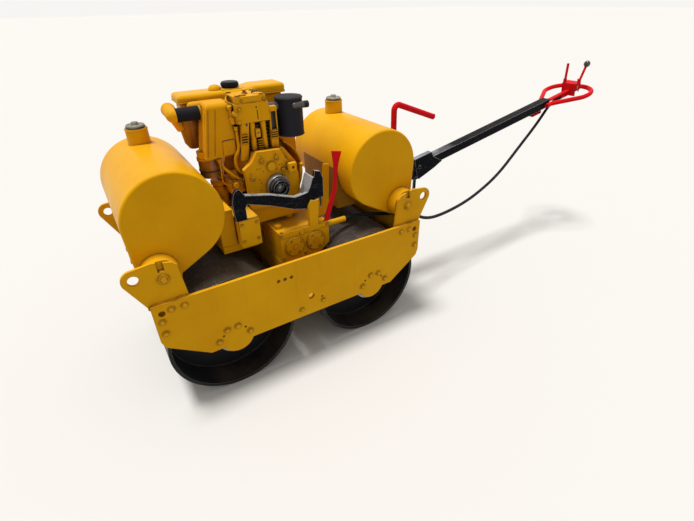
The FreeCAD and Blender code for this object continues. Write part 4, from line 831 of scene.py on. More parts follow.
def make_bolt_tree():
    """Hex heads with washers, one at each point, turned to the point's facing and scaled by its
    size."""
    tree = Tree(bpy.data.node_groups.new("Bolt heads", "GeometryNodeTree"))
    face = tree.tree.interface
    face.new_socket("Points", in_out="INPUT", socket_type="NodeSocketGeometry")
    height = face.new_socket("Head height", in_out="INPUT", socket_type="NodeSocketFloat")
    height.default_value = 0.6
    seed = face.new_socket("Seed", in_out="INPUT", socket_type="NodeSocketInt")
    finish = face.new_socket("Finish", in_out="INPUT", socket_type="NodeSocketMaterial")
    face.new_socket("Bolts", in_out="OUTPUT", socket_type="NodeSocketGeometry")
    given = tree.add("NodeGroupInput")
    tall = given.outputs["Head height"]
    washer = tree.add("GeometryNodeMeshCylinder", {"Vertices": 24, "Radius": 1.45, "Depth": 0.36})
    head = tree.add("GeometryNodeMeshCylinder", {"Vertices": 6, "Radius": 1.0, "Depth": tall})
    crown = tree.add("GeometryNodeMeshCone", {"Vertices": 6, "Radius Top": 0.80,
                                              "Radius Bottom": 1.0, "Depth": 0.12})
    rise = tree.add("ShaderNodeCombineXYZ", {"Z": tree.maths("MULTIPLY", tall, 0.5)})
    lifted = tree.add("GeometryNodeTransform", {"Geometry": head.outputs["Mesh"],
                                                "Translation": rise.outputs["Vector"]})
    rise = tree.add("ShaderNodeCombineXYZ", {"Z": tall})
    crowned = tree.add("GeometryNodeTransform", {"Geometry": crown.outputs["Mesh"],
                                                 "Translation": rise.outputs["Vector"]})
    bolt = tree.add("GeometryNodeJoinGeometry")
    for part in (washer.outputs["Mesh"], lifted.outputs["Geometry"],
                 crowned.outputs["Geometry"]):
        tree.tree.links.new(part, bolt.inputs["Geometry"])
    way = tree.add("GeometryNodeInputNamedAttribute", {"Name": "facing"},
                   data_type="FLOAT_VECTOR")
    size = tree.add("GeometryNodeInputNamedAttribute", {"Name": "size"}, data_type="FLOAT")
    aim = tree.add("FunctionNodeAlignRotationToVector", {"Vector": way.outputs["Attribute"]},
                   axis="Z")
    turn = tree.add("FunctionNodeRandomValue", {"Seed": given.outputs["Seed"]},
                    data_type="FLOAT")
    turn.inputs[2].default_value = 0.0
    turn.inputs[3].default_value = math.pi / 3
    spin = tree.add("FunctionNodeAxisAngleToRotation", {"Axis": (0, 0, 1),
                                                        "Angle": turn.outputs[1]})
    both = tree.add("FunctionNodeRotateRotation", {"Rotation": aim.outputs["Rotation"],
                                                   "Rotate By": spin.outputs["Rotation"]},
                    rotation_space="LOCAL")
    spots = tree.add("GeometryNodeInstanceOnPoints", {
        "Points": given.outputs["Points"], "Instance": bolt.outputs["Geometry"],
        "Rotation": both.outputs["Rotation"]})
    tree.feed(spots.inputs["Scale"], size.outputs["Attribute"])
    real = tree.add("GeometryNodeRealizeInstances", {"Geometry": spots.outputs["Instances"]})
    coat = tree.add("GeometryNodeSetMaterial", {"Geometry": real.outputs["Geometry"],
                                                "Material": given.outputs["Finish"]})
    result = tree.add("NodeGroupOutput")
    tree.feed(result.inputs["Bolts"], coat.outputs["Geometry"])
    return {"tree": tree.tree, "height": height.identifier, "seed": seed.identifier,
            "finish": finish.identifier}


def bolted(name, rows, finish, body):
    """Bolt heads as one plain mesh: rows of place, facing and head radius."""
    parts = bolted.tree = getattr(bolted, "tree", None) or make_bolt_tree()
    mesh = bpy.data.meshes.new(name)
    mesh.from_pydata([place for place, way, radius in rows], [], [])
    mesh.attributes.new("facing", "FLOAT_VECTOR", "POINT").data.foreach_set(
        "vector", [value for place, way, radius in rows for value in way])
    mesh.attributes.new("size", "FLOAT", "POINT").data.foreach_set(
        "value", [radius for place, way, radius in rows])
    thing = bpy.data.objects.new(name, mesh)
    bpy.context.scene.collection.objects.link(thing)
    maker = thing.modifiers.new("Bolt heads", "NODES")
    maker.node_group = parts["tree"]
    maker[parts["height"]] = sizes().head_height
    maker[parts["seed"]] = sizes().seed
    maker[parts["finish"]] = finish_named(finish)
    bpy.context.view_layer.update()
    plain = bpy.data.meshes.new_from_object(thing.evaluated_get(
        bpy.context.evaluated_depsgraph_get()))
    bpy.data.objects.remove(thing)
    return stand(name, plain, body)


def make_repeat_tree():
    """One shape at each point, turned to the point's facing and turn and scaled by its size."""
    tree = Tree(bpy.data.node_groups.new("Repeated shape", "GeometryNodeTree"))
    face = tree.tree.interface
    face.new_socket("Points", in_out="INPUT", socket_type="NodeSocketGeometry")
    unit = face.new_socket("Shape", in_out="INPUT", socket_type="NodeSocketObject")
    finish = face.new_socket("Finish", in_out="INPUT", socket_type="NodeSocketMaterial")
    face.new_socket("Shapes", in_out="OUTPUT", socket_type="NodeSocketGeometry")
    given = tree.add("NodeGroupInput")
    source = tree.add("GeometryNodeObjectInfo", {"Object": given.outputs["Shape"]})
    way = tree.add("GeometryNodeInputNamedAttribute", {"Name": "facing"},
                   data_type="FLOAT_VECTOR")
    size = tree.add("GeometryNodeInputNamedAttribute", {"Name": "size"},
                    data_type="FLOAT_VECTOR")
    angle = tree.add("GeometryNodeInputNamedAttribute", {"Name": "turn"}, data_type="FLOAT")
    aim = tree.add("FunctionNodeAlignRotationToVector", {"Vector": way.outputs["Attribute"]},
                   axis="Z")
    spin = tree.add("FunctionNodeAxisAngleToRotation", {"Axis": (0, 0, 1),
                                                        "Angle": angle.outputs["Attribute"]})
    both = tree.add("FunctionNodeRotateRotation", {"Rotation": aim.outputs["Rotation"],
                                                   "Rotate By": spin.outputs["Rotation"]},
                    rotation_space="LOCAL")
    spots = tree.add("GeometryNodeInstanceOnPoints", {
        "Points": given.outputs["Points"], "Instance": source.outputs["Geometry"],
        "Rotation": both.outputs["Rotation"], "Scale": size.outputs["Attribute"]})
    real = tree.add("GeometryNodeRealizeInstances", {"Geometry": spots.outputs["Instances"]})
    coat = tree.add("GeometryNodeSetMaterial", {"Geometry": real.outputs["Geometry"],
                                                "Material": given.outputs["Finish"]})
    result = tree.add("NodeGroupOutput")
    tree.feed(result.inputs["Shapes"], coat.outputs["Geometry"])
    return {"tree": tree.tree, "unit": unit.identifier, "finish": finish.identifier}


def repeated(name, rows, unit, finish, body):
    """A small shape set out as one plain mesh: rows of place, facing, size and turn."""
    parts = repeated.tree = getattr(repeated, "tree", None) or make_repeat_tree()
    shape = bpy.data.meshes.new(name + "_unit")
    unit.to_mesh(shape)
    unit.free()
    source = bpy.data.objects.new(name + "_unit", shape)
    bpy.context.scene.collection.objects.link(source)
    mesh = bpy.data.meshes.new(name)
    mesh.from_pydata([row[0] for row in rows], [], [])
    sides = [row[2] if isinstance(row[2], tuple) else (row[2],) * 3 for row in rows]
    for label, kind, field, values in (
            ("facing", "FLOAT_VECTOR", "vector", [v for row in rows for v in row[1]]),
            ("size", "FLOAT_VECTOR", "vector", [v for side in sides for v in side]),
            ("turn", "FLOAT", "value", [row[3] if len(row) > 3 else 0.0 for row in rows])):
        mesh.attributes.new(label, kind, "POINT").data.foreach_set(field, values)
    thing = bpy.data.objects.new(name, mesh)
    bpy.context.scene.collection.objects.link(thing)
    maker = thing.modifiers.new("Repeated shape", "NODES")
    maker.node_group = parts["tree"]
    maker[parts["unit"]] = source
    maker[parts["finish"]] = finish_named(finish)
    bpy.context.view_layer.update()
    plain = bpy.data.meshes.new_from_object(thing.evaluated_get(
        bpy.context.evaluated_depsgraph_get()))
    for extra in (thing, source):
        bpy.data.objects.remove(extra)
    return stand(name, plain, body)


def ring_of(middle, radius, count, way, size, start=0.0):
    """Rows for bolts on a circle about a middle, on a face that looks along way."""
    turn = facing(way)
    return [(Vector(middle) + turn @ Vector((radius * math.cos(a), radius * math.sin(a), 0)),
             way, size)
            for a in (math.radians(start) + 2 * math.pi * i / count for i in range(count))]


# Operators

class RollerOperator(bpy.types.Operator):
    """Shared settings of the roller's operators."""
    bl_idname = "roller.base"
    bl_label = "Base"
    bl_options = {"REGISTER", "UNDO"}

    def execute(self, context):
        self.make(context)
        return {"FINISHED"}


CAMERA_PLACE = (0.5935, 1.5643, 1.3439)
CAMERA_YAW, CAMERA_DROP, CAMERA_ROLL = (math.radians(v) for v in (-122.036, 32.130, -0.892))
CAMERA_FOCUS = 418.07 / 694


class MakeCamera(RollerOperator):
    """The camera at the photograph's place and angle"""
    bl_idname = "roller.make_camera"
    bl_label = "Camera"

    def make(self, context):
        level = math.cos(CAMERA_DROP)
        ahead = Vector((level * math.cos(CAMERA_YAW), level * math.sin(CAMERA_YAW),
                        -math.sin(CAMERA_DROP)))
        right = ahead.cross(Vector((0, 0, 1))).normalized()
        over = right.cross(ahead)
        cos, sin = math.cos(CAMERA_ROLL), math.sin(CAMERA_ROLL)
        axes = (right * cos + over * sin, over * cos - right * sin, -ahead)
        data = bpy.data.cameras.new("photo_camera")
        data.sensor_width = 36.0
        data.lens = CAMERA_FOCUS * data.sensor_width
        camera = bpy.data.objects.new("photo_camera", data)
        camera.matrix_world = (Matrix.Translation(CAMERA_PLACE)
                               @ Matrix([[axis[i] for axis in axes] for i in range(3)]).to_4x4())
        context.scene.collection.objects.link(camera)
        context.scene.camera = camera


CABLE_ROUTE = [
    (-0.262, 0.186, 0.540), (-0.324, 0.186, 0.540), (-0.392, 0.190, 0.530),
    (-0.456, 0.195, 0.512), (-0.520, 0.198, 0.503), (-0.590, 0.199, 0.500),
    (-0.640, 0.196, 0.470), (-0.700, 0.189, 0.424), (-0.776, 0.177, 0.396),
    (-0.860, 0.163, 0.386), (-0.950, 0.149, 0.385), (-1.044, 0.134, 0.390),
    (-1.136, 0.119, 0.402), (-1.228, 0.104, 0.424), (-1.319, 0.091, 0.455),
    (-1.407, 0.077, 0.497), (-1.490, 0.062, 0.548), (-1.574, 0.047, 0.601),
    (-1.668, 0.032, 0.661), (-1.748, 0.018, 0.717), (-1.806, 0.008, 0.766),
    (-1.86575, 0.0, 0.80478), (-1.92458, 0.0, 0.81654),
]
BOOT = [(0.0122, 0), (0.0122, 0.004), (0.0102, 0.012), (0.0086, 0.040), (0.0081, 0.044)]


class MakeCable(RollerOperator):
    """The control cable that hangs from the gearbox to the lever box"""
    bl_idname = "roller.make_cable"
    bl_label = "Control cable"

    def make(self, context):
        curve = bpy.data.curves.new("cable_route", "CURVE")
        curve.dimensions = "3D"
        spline = curve.splines.new("NURBS")
        spline.points.add(len(CABLE_ROUTE) - 1)
        for point, place in zip(spline.points, CABLE_ROUTE):
            point.co = (*place, 1.0)
        spline.order_u = 3
        spline.use_endpoint_u = True
        spline.resolution_u = 10
        route = bpy.data.objects.new("cable_route", curve)
        line = bpy.data.meshes.new_from_object(route)
        path = [vertex.co.copy() for vertex in line.vertices]
        bpy.data.objects.remove(route)
        mesh = bpy.data.meshes.new("control_cable_cover")
        shape = swept(path, sizes().cable / 2, sides=16)
        shape.to_mesh(mesh)
        mesh.materials.append(finish_named("cable_cover"))
        mesh.shade_smooth()
        cable = bpy.data.objects.new("control_cable_cover", mesh)
        context.scene.collection.objects.link(cable)
        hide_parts("control_cable")
        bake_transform(cable)
        boot = Piece("cable_boot")
        boot.add(turned(BOOT, (-0.260, 0.186, 0.540), (-1, 0, 0), 24), "hose_rubber")
        boot.done(CHASSIS)
        end = Vector(CABLE_ROUTE[-1])
        way = (Vector(CABLE_ROUTE[-2]) - end).normalized()
        boot = Piece("cable_boot_rear")
        boot.add(turned(BOOT, end - way * 0.002, way, 24), "hose_rubber")
        boot.done(DRAWBAR)


class MakeFrame(RollerOperator):
    """Side plates, ear plates, beams, centre frame, bed and apron, with their weld beads"""
    bl_idname = "roller.make_frame"
    bl_label = "Frame"

    def make(self, context):
        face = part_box("side_plate_left")[1].y
        for hand, side in (("left", 1), ("right", -1)):
            holes = [((way * x, side * face, z), (0, -side, 0), 0.0042, 0.008)
                     for way in (1, -1) for x, z in ((0.363, 0.281), (0.277, 0.287))]
            holes.append(((-0.059, side * face, 0.293), (0, -side, 0), 0.004, 0.008))
            dressed(f"side_plate_{hand}", "yellow_enamel", holes=holes)
        for node in ("front_beam", "rear_beam", "centre_frame", "engine_bed", "front_apron",
                     "mounting_block"):
            dressed(node, "yellow_enamel")
        for end in ("front", "rear"):
            for hand in ("left", "right"):
                dressed(f"ear_plate_{end}_{hand}", "yellow_enamel")
                dressed(f"axle_{end}_{hand}", "bare_steel")
        self.weld_beads()

    def weld_beads(self):
        piece = Piece("frame_welds")
        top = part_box("side_plate_left")[1].z
        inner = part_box("ear_plate_front_left")[1].y
        for side in (1, -1):
            for way in (1, -1):
                piece.add(weld([(way * 0.452, side * (inner + 0.0012), top + 0.0006),
                                (way * 0.560, side * (inner + 0.0012), top + 0.0006)]),
                          "yellow_enamel")
        low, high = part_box("front_apron")
        for side in (low.y, high.y):
            piece.add(weld([(high.x + 0.0005, side + (0.004 if side < 0 else -0.004), low.z + 0.012),
                            (high.x + 0.0005, side + (0.004 if side < 0 else -0.004),
                             high.z - 0.012)], 0.0028), "yellow_enamel")
        piece.done(CHASSIS)


class MakeDrums(RollerOperator):
    """The two drums: rubbed steel outside, black paint inside"""
    bl_idname = "roller.make_drums"
    bl_label = "Drums"

    def make(self, context):
        for name in ("front_drum", "rear_drum"):
            low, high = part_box(name)
            axis_x = (low.x + high.x) / 2
            radius = (high.z - low.z) / 2

            def outer(face):
                spot = face.calc_center_median()
                reach = math.hypot(spot.x - axis_x, spot.z - radius)
                return 1 if reach > radius * 0.985 and abs(face.normal.y) < 0.5 else 0

            dressed(name, "drum_paint", body=name, pick=outer, more=("drum_face",))
            rows = []
            for side in (1, -1):
                rows += ring_of((axis_x, side * (high.y - WEB_INSET), radius), 0.112, 8,
                                (0, side, 0), 0.009, 22.5)
            bolted(name + "_web_bolts", rows, "drum_paint", name)
            lips = Piece(name + "_welds")
            for side in (1, -1):
                lips.add(weld(circle((axis_x, side * (high.y - WEB_INSET + 0.001), radius),
                                     radius - 0.0145, (0, side, 0), 64), 0.004, True),
                         "drum_paint")
            lips.done(name)


WEB_INSET = 0.110


class MakeTanks(RollerOperator):
    """The two water tanks with their necks and filler caps"""
    bl_idname = "roller.make_tanks"
    bl_label = "Water tanks"

    def make(self, context):
        def under(face):
            """The box under the rear tank, painted dark as shade."""
            spot = face.calc_center_median()
            flat = max(abs(value) for value in face.normal) > 0.98
            return 1 if flat and spot.z < 0.735 and abs(spot.y) < 0.16 and spot.x > -0.35 else 0

        dressed("front_tank", "tank_enamel", edge=0.0)
        # The box under the tank takes dark enamel as painted shade.
        dressed("rear_tank", "tank_enamel", edge=0.0, pick=under, more=("soiled_enamel",))
        for end in ("front", "rear"):
            low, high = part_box(f"{end}_tank_cap")
            middle = (low + high) / 2
            base = Vector((middle.x, middle.y, low.z))
            cap = Piece(f"{end}_tank_cap_finished")
            cap.add(turned([(0, 0), (0.0330, 0), (0.0338, 0.0012), (0.0338, 0.0036),
                            (0.0325, 0.0046), (0.0325, 0.0050)], base), "dark_iron")
            cap.add(turned([(0, 0.0044), (0.0322, 0.0044), (0.0326, 0.0085), (0.0312, 0.0112),
                            (0.0286, 0.0120), (0.0268, 0.0112), (0.0258, 0.0098),
                            (0.0150, 0.0092), (0.0138, 0.0104), (0.0128, 0.0120),
                            (0.0120, 0.0180), (0.0105, 0.0205), (0.0080, 0.0210), (0, 0.0210)],
                           base), "cap_metal")
            cap.done(CHASSIS, [f"{end}_tank_cap"], slot="cap_metal")
            rows = []
            for i in range(40):
                a = 2 * math.pi * i / 40
                rows.append((base + Vector((0.0322 * math.cos(a), 0.0322 * math.sin(a), 0.0068)),
                             (math.cos(a), math.sin(a), 0), 1.0))
            rib = block((-0.0008, -0.0014, -0.0006), (0.0008, 0.0014, 0.0012), 0.0003)
            repeated(f"{end}_tank_cap_ribs", rows, rib, "cap_metal", CHASSIS)
            collar = Piece(f"{end}_tank_neck_ring")
            collar.add(swept(circle(base - Vector((0, 0, 0.004)), 0.0378, (0, 0, 1), 48), 0.0022,
                             8, True), "tank_enamel")
            collar.done(CHASSIS)
        self.seat_bolts()

    def seat_bolts(self):
        """The bolts that hold the tanks' feet between the ear plates."""
        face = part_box("ear_plate_front_left")[1].y
        washers = Piece("tank_bolt_washers")
        rows = []
        for way in (1, -1):
            for side in (1, -1):
                spot = Vector((way * 0.505, side * (face - 0.0005), 0.585))
                washers.add(turned([(0, 0), (0.0190, 0), (0.0198, 0.0008), (0.0198, 0.0026),
                                    (0.0190, 0.0034), (0, 0.0034)], spot, (0, side, 0)),
                            "yellow_enamel")
                rows.append((spot + Vector((0, side * 0.0034, 0)), (0, side, 0), 0.0118))
        washers.done(CHASSIS)
        bolted("tank_bolts", rows, "yellow_enamel", CHASSIS)


class MakeEngine(RollerOperator):
    """Crankcase, timing cover and crank end, cylinder with its fins, and the fan housing"""
    bl_idname = "roller.make_engine"
    bl_label = "Engine"

    def make(self, context):
        dressed("crankcase", "engine_enamel")
        dressed("fan_housing", "engine_enamel")
        dressed("cylinder", "engine_enamel")
        self.timing_cover()
        self.crank_end()
        self.columns()
        self.pipes()
        self.fan_inlet()

    def timing_cover(self):
        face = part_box("timing_cover")[1].y
        into, out = (0, -1, 0), (0, 1, 0)
        holes = [((x, face, z), into, radius, 0.009) for x, z, radius in COVER_HOLES]
        dressed("timing_cover", "engine_enamel", holes=holes)
        piece = Piece("cover_bosses")
        rows = []
        for x, z, radius in COVER_BOSSES:
            spot = Vector((x, face - 0.0008, z))
            piece.add(turned([(0, 0), (radius, 0), (radius, 0.0028), (radius - 0.0008, 0.0036),
                              (radius - 0.0024, 0.0036), (radius - 0.0028, 0.0020),
                              (0, 0.0020)], spot, out, 32), "engine_enamel")
            rows.append((spot + Vector((0, 0.0020, 0)), out, radius * 0.50))
        lug = cut_shape(block((-0.075, face - 0.001, 0.780), (-0.042, face + 0.020, 0.814), 0.004),
                        [((-0.058, face + 0.020, 0.797), into, 0.0052, 0.014)])
        piece.add(lug, "engine_enamel")
        piece.add(turned([(0, 0), (0.0175, 0), (0.0168, 0.0012), (0, 0.0014)],
                         (0.021, face - 0.0004, 0.810), out, 40), "engine_enamel")
        rod = [(-0.113, 0.100, 0.786), (-0.104, 0.100, 0.730), (-0.091, 0.100, 0.666)]
        piece.add(swept(flowing(rod, 5), 0.0048, 12), "engine_enamel")
        piece.add(turned(rounded_profile(0.0085, 0.015, 0.006), (-0.1145, 0.100, 0.778),
                         (-0.1, 0.05, 1.0), 20), "engine_enamel")
        piece.done(CHASSIS)
        bolted("cover_bolts", rows, "engine_enamel", CHASSIS)
        window = Piece("shroud_window")
        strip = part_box("timing_cover")[0].y
        window.add(frame_ring((-0.084, strip, 0.735), (-0.062, strip + 0.006, 0.762), 0.0032),
                   "engine_enamel")
        window.done(CHASSIS)

    def crank_end(self):
        """A steel ring round the black crank end with its dog socket."""
        low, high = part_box("crank_hub")
        base = Vector(((low.x + high.x) / 2, low.y, (low.z + high.z) / 2))
        reach = high.y - low.y
        out = (0, 1, 0)
        piece = Piece("crank_hub_finished")
        piece.add(turned([(0, 0), (0.0460, 0), (0.0460, 0.0100), (0.0440, 0.0120),
                          (0.0440, 0.0150), (0.0455, 0.0160), (0.0455, 0.0190),
                          (0.0445, 0.0205), (0.0425, 0.0205), (0, 0.0200)],
                         base, out, 64), "bare_steel")
        hub = [(0, 0.0190), (0.0415, 0.0190), (0.0418, 0.0290), (0.0405, 0.0315),
               (0.0370, 0.0325), (0.0360, reach - 0.004), (0.0330, reach),
               (0.0225, reach), (0.0205, reach - 0.002), (0.0205, reach - 0.024),
               (0.0060, reach - 0.026), (0, reach - 0.026)]
        piece.add(turned(hub, base, out, 64), "black_paint")
        for turn in (0.4, 0.4 + math.pi):
            ramp = block((0.0125, reach - 0.027, -0.006), (0.0196, reach - 0.010, 0.006), 0.001)
            bmesh.ops.rotate(ramp, verts=ramp.verts, cent=(0, 0, 0),
                             matrix=Matrix.Rotation(turn, 3, "Y"))
            bmesh.ops.translate(ramp, verts=ramp.verts, vec=base)
            piece.add(ramp, "black_paint")
        piece.add(turned([(0, reach - 0.0262), (0.0075, reach - 0.0262), (0.0065, reach - 0.018),
                          (0, reach - 0.017)], base, out, 24), "bare_steel")
        piece.done(CHASSIS, ["crank_hub"], slot="black_paint")
        rows = ring_of(base + Vector((0, reach - 0.001, 0)), 0.0278, 6, out, 0.0024)
        bolted("crank_ring_screws", rows, "dark_iron", CHASSIS)

    def columns(self):
        """The cast columns with their fins that stand at the cylinder's left side."""
        piece = Piece("cylinder_columns")
        low_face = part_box("timing_cover")[0].y
        for name, edges in COLUMNS.items():
            piece.add(prism(edges, (0.056, 0.079), 0.0025), "engine_enamel")
        piece.add(block((-0.041, 0.050, 0.930), (-0.012, 0.064, 1.006), 0.002), "engine_enamel")
        piece.add(block((0.032, 0.056, 0.913), (0.050, 0.083, 0.944), 0.002), "engine_enamel")
        for x, z, radius, reach in ((0.113, 1.002, 0.011, 0.020), (0.106, 0.975, 0.009, 0.024),
                                    (0.100, 1.018, 0.007, 0.026)):
            piece.add(turned([(0, 0), (radius, 0), (radius, reach * 0.5), (radius * 0.7, reach * 0.6),
                              (radius * 0.7, reach), (0, reach)], (x, 0.062, z), (0, 1, 0), 20),
                      "engine_enamel")
        piece.add(turned([(0, 0), (0.013, 0), (0.013, 0.022), (0.008, 0.026), (0.008, 0.048),
                          (0.011, 0.052), (0.011, 0.060), (0.004, 0.064), (0, 0.064)],
                         (0.118, 0.052, 0.968), (0.12, 0.0, 1.0), 24), "engine_enamel")
        piece.done(CHASSIS)
        # Painted shade: thin dark sheets in the gaps and slots of the columns and a dark disc for a
        # hole, where the casting is dark only from shade.
        dark = Piece("column_gaps")
        dark.add(prism([(0.0765, 0.958), (0.0835, 0.958), (0.0835, 0.985), (0.0765, 0.985)],
                       (0.0785, 0.0796), 0.0003), "dark_iron")
        dark.add(block((-0.036, 0.0636, 0.936), (-0.018, 0.0646, 1.000), 0.0004), "dark_iron")
        dark.add(turned([(0, 0), (0.0032, 0), (0.0032, 0.0006), (0, 0.0006)],
                        (0.041, 0.0829, 0.930), (0, 1, 0), 20), "dark_iron")
        dark.done(CHASSIS)
        fin = block((-0.5, 0.0, -0.5), (0.5, 1.0, 0.5), 0.06)
        rows = []
        for x, low, high, count, wide, tall in FIN_STACKS:
            for i in range(count):
                z = low + (high - low) * i / (count - 1)
                rows.append(((x, 0.0775, z), (0, 0, 1), (wide, 0.0085, tall)))
        repeated("column_fins", rows, fin, "engine_enamel", CHASSIS)

    def pipes(self):
        piece = Piece("engine_pipes")
        for points, radius in PIPES:
            piece.add(swept(flowing(points, 7), radius, 14), "engine_enamel")
            for end, near in ((points[0], points[1]), (points[-1], points[-2])):
                way = Vector(near) - Vector(end)
                piece.add(turned([(0, -0.002), (radius * 1.7, -0.002), (radius * 1.7, 0.010),
                                  (radius * 1.2, 0.014), (0, 0.014)], end, way, 6),
                          "engine_enamel")
        pump = block((0.109, 0.020, 0.728), (0.168, 0.064, 0.762), 0.006)
        piece.add(pump, "engine_enamel")
        piece.add(turned([(0, 0), (0.016, 0), (0.016, 0.018), (0.012, 0.022), (0.012, 0.034),
                          (0, 0.034)], (0.140, 0.042, 0.760), (0, 0, 1), 28), "engine_enamel")
        piece.add(turned([(0, 0), (0.013, 0), (0.013, 0.008), (0.009, 0.012), (0, 0.012)],
                         (0.148, 0.063, 0.745), (0, 1, 0), 24), "engine_enamel")
        piece.add(block((0.109, -0.030, 0.640), (0.126, 0.070, 0.700), 0.005), "engine_enamel")
        piece.done(CHASSIS)
        oil = Piece("oil_filter")
        oil.add(turned([(0, 0), (0.010, 0), (0.011, 0.008), (0.020, 0.010), (0.028, 0.016),
                        (0.031, 0.026), (0.031, 0.034), (0.033, 0.036), (0.033, 0.042),
                        (0.031, 0.044), (0.031, 0.118), (0.036, 0.121), (0.036, 0.134),
                        (0.033, 0.138), (0, 0.140)], (0.180, -0.040, 0.606), (0, 0, 1), 40),
                "engine_enamel")
        oil.add(block((0.100, -0.062, 0.724), (0.186, -0.018, 0.752), 0.006), "engine_enamel")
        oil.add(block((0.100, -0.066, 0.604), (0.152, -0.014, 0.640), 0.006), "engine_enamel")
        oil.done(CHASSIS)
        carrier = Piece("tank_carrier")
        carrier.add(prism([(-0.040, 0.985), (-0.148, 0.985), (-0.186, 0.872), (-0.186, 0.770),
                           (-0.060, 0.770)], (-0.092, -0.087), 0.0015), "engine_enamel")
        carrier.add(block((-0.150, -0.130, 0.978), (-0.050, -0.088, 0.984), 0.0015),
                    "engine_enamel")
        carrier.done(CHASSIS)
        rows = [((x, 0.064, z), (0, 1, 0), 0.0042) for x in (0.118, 0.160) for z in (0.736, 0.755)]
        rows += [((0.126, y, z), (1, 0, 0), 0.0055) for y in (-0.018, 0.058)
                 for z in (0.650, 0.690)]
        bolted("pump_bolts", rows, "engine_enamel", CHASSIS)

    def fan_inlet(self):
        """The guard of bars and rings over the fan's inlet on the right side."""
        low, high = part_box("fan_housing")
        middle = Vector((0.004, low.y, 0.745))
        rings = Piece("fan_inlet_rings")
        out = (0, -1, 0)
        for radius in (0.030, 0.048, 0.066, 0.084, 0.102):
            rings.add(swept(circle(middle + Vector((0, -0.0036, 0)), radius, out, 56), 0.0020, 8,
                            True), "dark_iron")
        rings.add(turned([(0, 0), (0.022, 0), (0.022, 0.003), (0.018, 0.0062), (0, 0.0068)],
                         middle, out, 32), "engine_enamel")
        rings.add(turned([(0.106, 0), (0.118, 0), (0.118, 0.004), (0.114, 0.0062),
                          (0.109, 0.0062), (0.106, 0.003), (0.106, 0)], middle, out, 64),
                  "engine_enamel")
        # Painted shade: a dark disc fills the inlet behind the guard, for its shaded inside.
        rings.add(turned([(0, 0.0002), (0.106, 0.0002), (0.106, 0.0008), (0, 0.0008)], middle, out,
                         64), "dark_iron")
        rings.done(CHASSIS, slot="yellow_paint")
        bar = block((0.020, -0.0022, 0.0010), (0.108, 0.0022, 0.0030), 0.0006)
        rows = []
        for i in range(12):
            rows.append((middle, out, 1.0, i * math.pi / 6))
        repeated("fan_inlet_bars", rows, bar, "engine_enamel", CHASSIS)
        bolted("fan_bolts", ring_of(middle, 0.134, 8, out, 0.0055, 22.5), "engine_enamel", CHASSIS)


COVER_HOLES = [(0.055, 0.853, 0.0026), (-0.001, 0.852, 0.0026), (0.076, 0.808, 0.0032),
               (0.065, 0.808, 0.0020), (0.055, 0.795, 0.0024), (-0.014, 0.808, 0.0020),
               (-0.024, 0.810, 0.0026), (-0.002, 0.795, 0.0028), (0.1035, 0.795, 0.0036),
               (0.072, 0.766, 0.0026), (0.066, 0.753, 0.0030), (0.072, 0.724, 0.0026),
               (-0.021, 0.768, 0.0030)]
COVER_BOSSES = [(0.056, 0.835, 0.0085), (-0.004, 0.838, 0.0085), (0.0985, 0.776, 0.0085),
                (-0.026, 0.787, 0.0085)]
COLUMNS = {
    "left": [(0.065, 0.995), (0.088, 0.835), (0.116, 0.835), (0.096, 0.995)],
    "left_cap": [(0.060, 0.985), (0.060, 1.008), (0.098, 1.008), (0.101, 0.985)],
    "right_outer": [(-0.041, 1.004), (-0.035, 1.004), (-0.035, 0.928), (-0.041, 0.928)],
    "right_inner": [(-0.018, 1.004), (-0.011, 1.004), (-0.009, 0.928), (-0.016, 0.928)],
    "right_foot": [(-0.039, 0.932), (-0.009, 0.932), (-0.008, 0.862), (-0.026, 0.858),
                   (-0.039, 0.862)],
    "right_cap": [(-0.043, 0.996), (-0.043, 1.014), (-0.011, 1.014), (-0.011, 0.996)],
}
FIN_STACKS = [(0.0945, 0.900, 0.928, 4, 0.024, 0.0036), (-0.024, 0.903, 0.927, 4, 0.026, 0.0034),
              (0.036, 0.862, 0.904, 6, 0.018, 0.0032)]
PIPES = [
    ([(0.194, 0.040, 0.852), (0.184, 0.050, 0.822), (0.160, 0.058, 0.792), (0.134, 0.060, 0.768),
      (0.108, 0.058, 0.756)], 0.0058),
    ([(0.113, 0.056, 0.956), (0.114, 0.060, 0.915), (0.117, 0.062, 0.876), (0.132, 0.060, 0.850),
      (0.134, 0.058, 0.818), (0.122, 0.056, 0.790), (0.108, 0.054, 0.784)], 0.0062),
    ([(0.194, 0.056, 0.850), (0.193, 0.060, 0.814), (0.194, 0.060, 0.770), (0.180, 0.060, 0.750),
      (0.164, 0.056, 0.744)], 0.0026),
]


